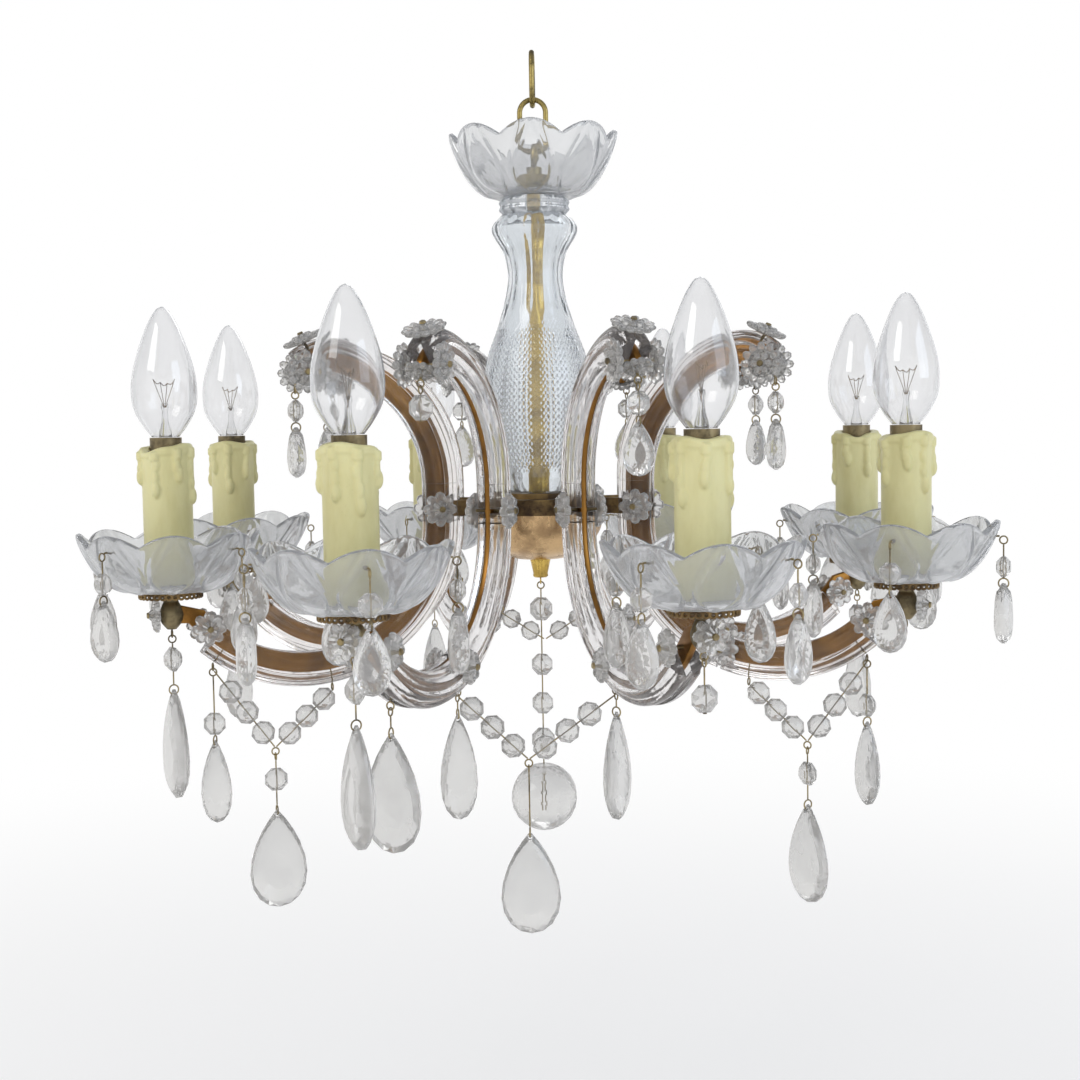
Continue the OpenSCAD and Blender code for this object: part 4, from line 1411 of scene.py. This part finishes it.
@dataclass
class Cups(Crew):
    """Galleries, dishes, sleeves and bulbs."""

    dish_turn: tuple[float, ...] = (17, -37, -20, 10, 35, -15, 25, -28)
    runs: tuple[tuple[float, float], ...] = ((10, 1), (62, 0.55), (118, 0.8), (170, 0.5),
                                             (215, 0.95), (268, 0.62), (318, 0.75))
    longest_run: float = 27.0
    sleeve_r: float = 13.25
    sleeve_bore: float = 8.8
    voxel: float = 0.62
    bulb_r: float = 17.5
    bulb_height: float = 70.0
    bulb_wall: float = 0.7

    def build(self) -> None:
        """Models one of each piece and copies it to the eight arms."""
        f = self.finishes
        dish = Dish(width=98, height=32, foot=21, hole=9.3).model()
        gallery, sleeve = self.gallery(), self.sleeve()
        envelope, cap, foot, wires = self.envelope(), self.cap(), self.foot(), self.wires()
        for i in range(1, 9):
            at = at_candle(i)
            cup = at @ shift(0, 0, LV.cup)
            spin = cup @ turn("Z", self.dish_turn[i - 1] - arm_angle(i))
            pieces = [(gallery, "gallery", cup, f.dark_and_shaded_brass, "frame", "brass", "drip_cups"),
                      (dish, "dish_glass", spin, f.glass, "frame", "pressed_glass", f"dish_{i}"),
                      (sleeve, "sleeve", at @ turn("Z", 37 * i), f.sleeve, "frame",
                       "candle_sleeve", f"candle_{i}")]
            pieces += [(model, label, at @ shift(0, 0, LV.bulb), finish, f"bulb_{i}_body",
                        "bulb_glass", f"bulb_{i}")
                       for model, label, finish in (
                           (envelope, "envelope", f.bulb), (cap, "screw_cap", f.holder),
                           (foot, "glass_foot", f.bulb), (wires, "glow_wire", f.dark_and_shaded_brass))]
            for model, label, place, finish, body, slot, node in pieces:
                piece = Bench.copies(model, [place], keep=True)[0]
                self.finish(piece, f"{label}_{i}", finish, body, slot, [node])
        for model in (dish, gallery, sleeve, envelope, cap, foot, wires):
            bpy.data.objects.remove(model)
        self.dress("lampholders", f.holder)

    def gallery(self) -> bpy.types.Object:
        """Pierced brass cup: a dished plate with a rim of small rings.

        Returns:
            The gallery, its top at the origin.
        """
        plate = Bench.lathe([(4.6, -3.2), (9, -3.2), (10, -2.6), (14.8, -2.4), (16.2, -1.6),
                             (15.8, -0.5), (14.6, -1.0), (12, -1.2), (4.6, -1.2)], 64)
        ring = Bench.wire(1.5, 0.7)
        places = [turn("Z", 11.25 * k) @ shift(16.6, 0, -2.0) @ turn("Z", 90) for k in range(32)]
        return Bench.soften(Bench.join([plate] + Bench.copies(ring, places)), 50)

    def sleeve(self) -> bpy.types.Object:
        """Sleeve with a raised lip and runs of wax, all melted together.

        Returns:
            The sleeve.
        """
        top, low, r, bore = LV.sleeve_top, LV.dish_floor, self.sleeve_r, self.sleeve_bore
        tube = Bench.lathe([(r, low), (r, top - 6), (r + 0.9, top - 4.5), (r + 1.0, top - 1.5),
                            (r + 0.2, top - 0.2), (r - 1.2, top), (bore, top), (bore, top - 3),
                            (r - 1.4, top - 3), (r - 1.4, low)], 72)
        parts = [tube]
        for angle, share in self.runs:
            run = self.longest_run * share
            for radius, at, out in ((2.5, run, 0.5), (2.2, 0.72 * run, 0.3),
                                    (2.0, 0.4 * run, 0.1)):
                drop = Bench.ball(radius)
                drop.data.transform(turn("Z", angle + 5 * math.sin(at))
                                    @ shift(r + out, 0, top - 3 - at)
                                    @ Matrix.Diagonal((1, 1, 1.9, 1)))
                parts.append(drop)
            for radius, end, out in ((1.7, run, 0.3), (2.7, 5.5, 0.0)):
                rod = Bench.rod(radius, top - 3 - end, top - 2.0, 14)
                rod.data.transform(turn("Z", angle) @ shift(r + out, 0, 0))
                parts.append(rod)
        piece = Bench.join(parts)
        Bench.apply(piece, "REMESH", mode="VOXEL", voxel_size=self.voxel)
        Bench.apply(piece, "SMOOTH", factor=0.5, iterations=3)
        for vertex in piece.data.vertices:
            near = max(0.0, (vertex.co.z - top + 12) / 12)
            angle = polar(vertex)[1]
            notch = max(0.0, math.cos(angle - 1.6)) ** 6 * 4.5
            vertex.co.z -= near * (notch + 0.8 + 0.8 * math.sin(3 * angle))
        return Bench.soften(piece, 80)

    def envelope(self) -> bpy.types.Object:
        """Blown envelope of a candle bulb.

        Returns:
            The envelope, its neck at the origin.
        """
        r, h, wall = self.bulb_r, self.bulb_height, self.bulb_wall
        keys = [(7.25, 0), (r * 0.68, h * 0.09), (r * 0.93, h * 0.21), (r, h * 0.34),
                (r * 0.94, h * 0.5), (r * 0.74, h * 0.68), (r * 0.46, h * 0.86),
                (r * 0.2, h * 0.97), (0, h)]
        outer = smooth(keys, 6)
        inner = [(x - wall, min(z, h - wall)) for x, z in outer if x > 2 * wall]
        piece = Bench.lathe(outer + [(0, h - 2 * wall)] + inner[::-1], 64)
        return Bench.soften(piece, 50)

    def cap(self) -> bpy.types.Object:
        """Rolled screw cap with its contact.

        Returns:
            The cap.
        """
        points = [(0, -24), (3.0, -24), (3.2, -22.8), (5.4, -21.6), (6.0, -20)]
        for k in range(17):
            points.append((6.45 + 0.38 * math.cos(math.pi * k), -19.5 + 1.1 * k))
        points += [(6.7, -1.2), (6.8, -0.3), (0, -0.3)]
        return Bench.soften(Bench.lathe(points, 40), 40)

    def foot(self) -> bpy.types.Object:
        """Glass foot that holds the wires inside the bulb.

        Returns:
            The foot.
        """
        return Bench.soften(Bench.lathe([(0, -0.2), (3.6, -0.2), (3.3, 3), (1.9, 8), (1.5, 14),
                                         (2.1, 16), (1.9, 18), (0, 18.4)], 20), 60)

    def wires(self) -> bpy.types.Object:
        """Supports and coiled wire inside the bulb.

        Returns:
            The wires.
        """
        parts, tips = [], []
        base, bits = 16, 6
        for lean, long in ((-20, 16.0), (20, 16.0), (-7, 13.0), (8, 13.5)):
            rod = Bench.rod(0.18, 0, long, 6)
            a = math.radians(lean)
            side = 0.9 * math.sin(a)
            rod.data.transform(shift(side, 0, base) @ turn("Y", lean))
            parts.append(rod)
            tips.append(Vector((side + long * math.sin(a), 0, base + long * math.cos(a))))
        route = [tips[0], tips[2], tips[3], tips[1]]
        last = route[0]
        for a, b in zip(route, route[1:]):
            for k in range(1, bits + 1):
                sway = math.sin(math.pi * k / bits)
                here = a.lerp(b, k / bits) + Vector((0, 1.2 * sway, -1.6 * sway))
                bit = Bench.rod(0.24, 0, (here - last).length, 6)
                bit.data.transform(aim(last, here))
                parts.append(bit)
                last = here
        return Bench.join(parts)


@dataclass(frozen=True)
class Strand:
    """A strand of wire rings, perhaps a bead, perhaps a drop.

    Attributes:
        bead: Width of the bead, 0 for none.
        lead: Straight wire above the bead.
        width: Width of the drop, 0 for none.
        height: Length of the drop.
        tail: Straight wire below the bead.
        turned: Turn of bead and drop about Z, in degrees.
        ring_reach: From the hook to the straight wire.
        bead_room: What a bead takes of the wire besides its width.
        drop_reach: From the drop's ring to the hole in the drop.
    """

    bead: float
    lead: float
    width: float
    height: float
    tail: float = 0.0
    turned: float = 0.0
    ring_reach: float = 2.95
    bead_room: float = 1.2
    drop_reach: float = 5.68

    @property
    def start(self) -> float:
        """Where the straight wire starts."""
        return -self.ring_reach - self.lead

    @property
    def low(self) -> float:
        """Where the drop's ring is caught."""
        room = self.bead + self.bead_room if self.bead > 0 else 0.0
        return self.start - room - self.tail

    def bead_place(self) -> Matrix:
        """Place and size of the bead."""
        return (shift(0, 0, self.start - self.bead_room / 2 - self.bead / 2)
                @ turn("Z", self.turned) @ Matrix.Scale(self.bead / 10.0, 4))

    def drop_place(self) -> Matrix:
        """Place of the drop, its hole at the origin."""
        return shift(0, 0, self.low - self.drop_reach) @ turn("Z", self.turned)


@dataclass
class Trim(Crew):
    """Beads, drops and the ball."""

    # Arm, angle of the hook or 0 for the boss, then bead, lead, width, height and turn
    fixed: tuple[tuple[float, ...], ...] = (
        (1, LV.before(LV.end_inside), 0, 6, 33, 60, 5), (1, LV.bay_hook, 0, 4, 22, 57, 40),
        (2, LV.bay_hook, 0, 4, 22, 58, 30), (2, 0, 13, 8, 0, 0, 0),
        (3, LV.before(LV.side_inside), 12, 14, 19, 46, 50),
        (8, LV.before(LV.side_inside), 12, 20, 19, 46, 60))
    # Arm, then bead, width, height and turn
    swinging: tuple[tuple[float, ...], ...] = (
        (1, 13, 35, 60, -35), (4, 12, 22, 50, 20), (5, 12, 24, 54, -30),
        (6, 12, 24, 50, 25), (7, 12, 22, 46, -20), (8, 13, 35, 60, 10))
    rim_hook: tuple[float, float] = (50.4, LV.cup + 24 - 1.05)
    rim_strand: Strand = Strand(bead=11, lead=6, width=19, height=32)
    tip_hook: float = 6.5
    ring_z: float = -0.95
    drop_ring: float = 2.6
    rod_top: float = -3.4
    pendant_beads: tuple[tuple[float, float], ...] = ((-15, 13.5), (-48, 12.5), (-71, 12.5),
                                                      (-93, 14))
    ball_r: float = 20.0
    ball_z: float = -127.0
    pendant_rod: tuple[float, float] = (-133, -3.2)
    front_low: tuple[float, float, float] = (-5, -97, LV.joint - 131.5)
    rear_low: tuple[float, float, float] = (0, 66, LV.joint - 88)
    side_ring: tuple[float, float, float] = (0, 1.2, -1.6)
    row_ends: float = 6.0
    row_start: float = 5.0
    row_room: float = 2.5
    dish_turn: tuple[float, ...] = Cups.dish_turn
    models: dict[tuple[float, float], bpy.types.Object] = field(default_factory=dict)

    def build(self) -> None:
        """Models every bead and drop and hangs them."""
        f = self.finishes
        bead = self.bead()
        for i in range(1, 9):
            parts = self.small(i, bead)
            self.finish(Bench.join(parts), f"small_drops_{i}", f.gem, "frame", "cut_glass",
                        ["small_drops"])
        rows = [Bench.copies(bead, places, keep=True) for places in self.rows()]
        for name, parts in zip(("garland_right", "garland_left", "garland_front",
                                "garland_rear"), rows):
            self.finish(Bench.join(parts), name, f.gem, "frame", "cut_glass", ["garland_beads"])
        self.pendant(bead)
        drop = shift(0, 0, -LV.strand_drop)
        front = shift(*self.front_low) @ drop @ turn("Z", 90)
        self.moving("garland_drop_front", front, Strand(bead=0, lead=30, width=35, height=55),
                    bead)
        for name, i, a in (("garland_drop_left", 8, 0), ("garland_drop_right", 3, -35)):
            at = at_arm(i) @ shift(*LV.side_low) @ drop @ turn("Z", 90)
            self.moving(name, at, Strand(12.5, 4, 35, 55, tail=8, turned=a), bead)
        for i, d, w, h, a in self.swinging:
            at = at_candle(i) @ shift(0, 0, LV.boss_loop) @ drop
            self.moving(f"arm_drop_{i}", at, Strand(d, 2, w, h, tail=7, turned=a), bead)
        bpy.data.objects.remove(bead)
        for model in self.models.values():
            bpy.data.objects.remove(model)

    def bead(self) -> bpy.types.Object:
        """Cut octagon bead 10 wide, its facets at +X and -X.

        Returns:
            The bead.
        """
        r = 5 / math.cos(math.radians(22.5))
        outline = [(r * math.cos(math.radians(45 * k + 22.5)),
                    r * math.sin(math.radians(45 * k + 22.5))) for k in range(8)]
        piece = Bench.stack(outline, [(-3.2, 0.5), (-0.6, 1.0), (0.6, 1.0), (3.2, 0.5)], (0, 0))
        return Bench.poke(piece, lambda n, c: 0.2 < abs(n.x) < 0.95, 0.25)

    def gem(self, width: float, height: float) -> bpy.types.Object:
        """Pear-shaped cut drop, its hole at the origin, faces at +X and -X.

        Args:
            width: Width of the drop.
            height: Its length.

        Returns:
            The drop.
        """
        if (width, height) in self.models:
            return self.models[(width, height)]
        count, mid, top = 20, 0.6 * height, 3.2
        outline = []
        for k in range(count):
            u = 2 * math.pi * k / count
            y = width / 2 * math.sin(u) * abs(math.sin(u / 2)) ** 0.8 * 1.14
            outline.append((y, top - height * (1 - math.cos(u)) / 2))
        middle = (0.0, top - mid)
        piece = Bench.stack(outline, [(-4.5, 0.5), (-3.3, 0.82), (-0.8, 1.0), (0.8, 1.0),
                                      (3.3, 0.82), (4.5, 0.5)], middle)
        Bench.poke(piece, lambda n, c: 0.3 < abs(n.x) < 0.97, 0.18)
        Bench.clear()
        bpy.ops.mesh.primitive_cylinder_add(vertices=14, radius=1.15, depth=30,
                                            rotation=(0, math.pi / 2, 0))
        drill = bpy.context.object
        Bench.apply(piece, "BOOLEAN", object=drill, operation="DIFFERENCE", solver="EXACT")
        bpy.data.objects.remove(drill)
        self.models[(width, height)] = piece
        return piece

    def small(self, number: int, bead: bpy.types.Object) -> list[bpy.types.Object]:
        """Small fixed beads and drops round one arm.

        Args:
            number: The arm's number.
            bead: The bead's model.

        Returns:
            The pieces, in place.
        """
        parts: list[bpy.types.Object] = []
        x, z = around(LV.scroll, LV.scroll_r - LV.rosette_in, LV.tip_turn)
        tip = around((x, z), self.tip_hook, LV.tip_turn - 90)
        r, rim = self.rim_hook
        for k in range(4):
            spin = self.dish_turn[number - 1] - arm_angle(number) + 90 * k
            at = at_candle(number) @ turn("Z", spin) @ shift(r, 0, rim)
            parts += self.hang(at, self.rim_strand, bead)
        bead_size, drop_width = (13, 0) if number == 1 else (12, 19)
        parts += self.hang(at_arm(number) @ shift(tip[0], 0, tip[1] - LV.strand_drop),
                           Strand(bead=bead_size, lead=0, width=drop_width, height=28), bead)
        for arm, a, d, lead, w, h, turned in self.fixed:
            if arm != number:
                continue
            x, z = LV.hook(a) if a else (LV.candle_r, LV.boss_loop)
            parts += self.hang(at_arm(number) @ shift(x, 0, z - LV.strand_drop),
                               Strand(d, lead, w, h, turned=turned), bead)
        return parts

    def hang(self, at: Matrix, strand: Strand, bead: bpy.types.Object) -> list[bpy.types.Object]:
        """Bead and drop of one strand.

        Args:
            at: Where the strand hangs.
            strand: Its sizes.
            bead: The bead's model.

        Returns:
            The pieces, in place.
        """
        parts = []
        if strand.bead:
            parts += Bench.copies(bead, [at @ strand.bead_place()], keep=True)
        if strand.width:
            parts += Bench.copies(self.gem(strand.width, strand.height),
                                  [at @ strand.drop_place()], keep=True)
        return parts

    def rows(self) -> list[list[Matrix]]:
        """Places of the beads in the four garlands.

        Returns:
            A list of places for each garland.
        """
        def loop_mid(a: float) -> Vector:
            """Middle of the ring on the hook at this angle."""
            x, z = LV.hook(a)
            return Vector((x, 0, z - RING))

        def row(a: Vector, b: Vector, size: float, count: int) -> list[Matrix]:
            """Places of beads on the straight wire from a down to b, counted from b.

            Args:
                a: Upper end of the wire.
                b: Its lower end.
                size: Width of the beads.
                count: How many there are.

            Returns:
                The places.
            """
            free = (a - b).length - self.row_ends - size
            pitch = min(free / (count - 1), size + self.row_room)
            return [aim(b, a) @ shift(0, 0, self.row_start + size / 2 + k * pitch)
                    @ turn("Z", 90) @ Matrix.Scale(size / 10, 4) for k in range(count)]

        sides = []
        for i in (3, 8):
            found = []
            for a in (LV.side_hook, LV.before(LV.side_inside)):
                start = loop_mid(a) + Vector(self.side_ring)
                found += row(start, Vector(LV.side_low), 12.5, 3)
            sides.append([at_arm(i) @ m for m in found])
        bays = []
        for first, a, low, size, count in ((1, LV.bay_hook, self.front_low, 12.5, 3),
                                           (5, LV.rear_hook, self.rear_low, 11.5, 2)):
            found = []
            for i in (first, first + 1):
                start = at_arm(i) @ (loop_mid(a) - Vector((0, 0, RING)))
                found += row(start, Vector(low), size, count)
            bays.append(found)
        return sides + bays

    def moving(self, node: str, at: Matrix, strand: Strand, bead: bpy.types.Object) -> None:
        """Makes a strand that swings: its glass and its wire.

        Args:
            node: Solid that it stands for.
            at: Where it hangs.
            strand: Its sizes.
            bead: The bead's model.
        """
        glass = self.hang(at, strand, bead)
        low = Bench.wire(self.drop_ring)
        low.data.transform(shift(0, 0, strand.low - self.drop_ring) @ turn("Z", strand.turned))
        self.swing(node, at, glass, [low, Bench.rod(WIRE, strand.low + 0.45, self.rod_top)])

    def swing(self, node: str, at: Matrix, glass: Sequence[bpy.types.Object],
              wires: Sequence[bpy.types.Object]) -> None:
        """Finishes the glass of a strand that swings, and its wire with a ring at the top.

        Args:
            node: Solid that both stand for.
            at: Where the strand hangs.
            glass: Its beads and drop, in place.
            wires: Its wires below the ring, about the origin.
        """
        body = node + "_body"
        self.finish(Bench.join(glass), node + "_glass", self.finishes.gem, body, "cut_glass",
                    [node])
        top = Bench.wire()
        top.data.transform(shift(0, 0, self.ring_z))
        wire = Bench.join([top, *wires])
        wire.data.transform(at)
        self.finish(Bench.soften(wire, 50), node + "_wire", self.finishes.wires, body,
                    "cut_glass", [node])

    def pendant(self, bead: bpy.types.Object) -> None:
        """Makes the beads, the faceted ball and the wire under the finial.

        Args:
            bead: The bead's model.
        """
        at = shift(0, 0, LV.finial_loop)
        parts = []
        for z, size in self.pendant_beads:
            parts += Bench.copies(bead, [at @ shift(0, 0, z) @ turn("Z", 70)
                                         @ Matrix.Scale(size / 10, 4)], keep=True)
        ball = Bench.ball(self.ball_r)
        Bench.edit(ball)
        bpy.ops.mesh.vertices_smooth(factor=0.15, repeat=1)
        Bench.close(ball)
        Bench.poke(ball, lambda n, c: abs(n.z) < 0.9, 0.35)
        ball.data.transform(at @ shift(0, 0, self.ball_z))
        parts.append(ball)
        self.swing("centre_pendant", at, parts, [Bench.rod(WIRE, *self.pendant_rod)])


@dataclass
class Studio:
    """Camera, floor, lamps and surroundings."""

    distance: float = 0.970
    azimuth: float = 1.8
    pitch: float = 3.9
    roll: float = -1.0
    lens: float = 55.07
    eye_z: float = -0.2142
    floor_z: float = -0.66
    target_z: float = -0.25

    def build(self) -> None:
        """Sets up the whole studio."""
        self.camera()
        self.floor()
        self.lamps()
        self.surroundings()
        bpy.context.scene.view_settings.view_transform = "Standard"

    def camera(self) -> None:
        """Puts the camera at the photograph's viewing angle."""
        data = bpy.data.cameras.new("camera")
        data.lens, data.sensor_width = self.lens, 36.0
        camera = bpy.data.objects.new("camera", data)
        a = math.radians(self.azimuth)
        camera.matrix_world = (
            shift(self.distance * math.sin(a), -self.distance * math.cos(a), self.eye_z)
            @ turn("Z", self.azimuth) @ turn("X", 90 - self.pitch) @ turn("Z", self.roll))
        bpy.context.scene.collection.objects.link(camera)
        bpy.context.scene.camera = camera

    def floor(self) -> None:
        """A pale floor that keeps the shadow near the object and fades into white."""
        Bench.clear()
        bpy.ops.mesh.primitive_circle_add(vertices=96, radius=30, fill_type="NGON",
                                          location=(0, 0, self.floor_z))
        bpy.ops.object.transform_apply(location=True)
        floor = bpy.context.object
        floor.name = "floor"
        p = Paint("pale_floor")
        p.set(Base_Color=p.blend(p.noise(3.0), (0.90, 0.90, 0.90), (0.93, 0.93, 0.93)),
              Roughness=0.8, Specular_IOR_Level=0.1)
        white = p.node("ShaderNodeEmission", {}, {"Color": (1, 1, 1, 1), "Strength": 1.0})
        away = p.node("ShaderNodeVectorMath", {"operation": "LENGTH"}, {0: p.place})
        fade = Value(p, away.outputs["Value"]).step(0.2, 1.5)
        p.over(0.35 + 0.65 * fade, white)
        floor.data.materials.append(p.material)

    def lamps(self) -> None:
        """Three soft lamps at a plain level."""
        for name, place, size, power, colour in (
                ("key", (-1.1, -1.3, 0.9), 0.9, 9.0, (1.0, 0.98, 0.94)),
                ("fill", (1.4, -0.9, 0.3), 1.0, 6.0, (0.72, 0.84, 1.0)),
                ("back", (0.3, 1.5, 0.8), 1.0, 4.0, (1.0, 1.0, 1.0))):
            data = bpy.data.lights.new(name, "AREA")
            data.size, data.energy, data.color = size, power, colour
            lamp = bpy.data.objects.new(name, data)
            ray = Vector((0, 0, self.target_z)) - Vector(place)
            lamp.matrix_world = shift(*place) @ ray.to_track_quat("-Z", "Y").to_matrix().to_4x4()
            bpy.context.scene.collection.objects.link(lamp)

    def surroundings(self) -> None:
        """White to the camera, a softly graded room to the glass and metal."""
        world = bpy.data.worlds.new("studio")
        bpy.context.scene.world = world
        world.use_nodes = True
        tree = world.node_tree
        tree.nodes.clear()
        new = tree.nodes.new
        out, back = new("ShaderNodeOutputWorld"), new("ShaderNodeBackground")
        place, split = new("ShaderNodeTexCoord"), new("ShaderNodeSeparateXYZ")
        ramp, path = new("ShaderNodeValToRGB"), new("ShaderNodeLightPath")
        mix = new("ShaderNodeMix")
        mix.data_type = "RGBA"
        stops = ((0.0, (0.55, 0.55, 0.56)), (0.40, (1.0, 1.0, 1.0)), (0.62, (1.0, 1.0, 1.0)),
                 (0.74, (0.34, 0.35, 0.37)), (0.86, (0.26, 0.27, 0.30)), (1.0, (0.8, 0.81, 0.84)))
        elements = ramp.color_ramp.elements
        while len(elements) < len(stops):
            elements.new(0.5)
        for element, (at, colour) in zip(elements, stops):
            element.position, element.color = at, (*colour, 1.0)
        half = new("ShaderNodeMath")
        half.operation = "MULTIPLY_ADD"
        half.inputs[1].default_value = half.inputs[2].default_value = 0.5
        link = tree.links.new
        link(place.outputs["Generated"], split.inputs[0])
        link(split.outputs["Z"], half.inputs[0])
        link(half.outputs[0], ramp.inputs[0])
        white = path.outputs["Is Camera Ray"]
        for kind, share in (("Is Glossy Ray", 0.15), ("Is Transmission Ray", 0.25)):
            node = new("ShaderNodeMath")
            node.operation, node.use_clamp = "MULTIPLY_ADD", True
            node.inputs[1].default_value = share
            link(path.outputs[kind], node.inputs[0])
            link(white, node.inputs[2])
            white = node.outputs[0]
        link(white, mix.inputs[0])
        link(ramp.outputs[0], mix.inputs[6])
        mix.inputs[7].default_value = (1, 1, 1, 1)
        link(mix.outputs[2], back.inputs["Color"])
        link(back.outputs[0], out.inputs["Surface"])


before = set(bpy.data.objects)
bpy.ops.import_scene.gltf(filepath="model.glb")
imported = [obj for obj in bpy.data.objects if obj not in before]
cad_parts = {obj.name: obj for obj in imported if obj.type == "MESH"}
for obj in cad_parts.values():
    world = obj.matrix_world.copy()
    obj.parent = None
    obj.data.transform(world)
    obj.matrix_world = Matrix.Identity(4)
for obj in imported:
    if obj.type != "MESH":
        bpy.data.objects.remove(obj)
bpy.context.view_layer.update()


def main() -> None:
    """Builds every sub-assembly in order, then the studio."""
    logging.basicConfig(level=logging.INFO, format="%(message)s")
    finishes = Palette.mix()
    for part in (Stem(finishes), Hub(finishes), Arms(finishes), Cups(finishes), Trim(finishes)):
        part.build()
        log.info("%s: %d new pieces", type(part).__name__, part.made)
    Studio().build()


if __name__ == "__main__":
    main()
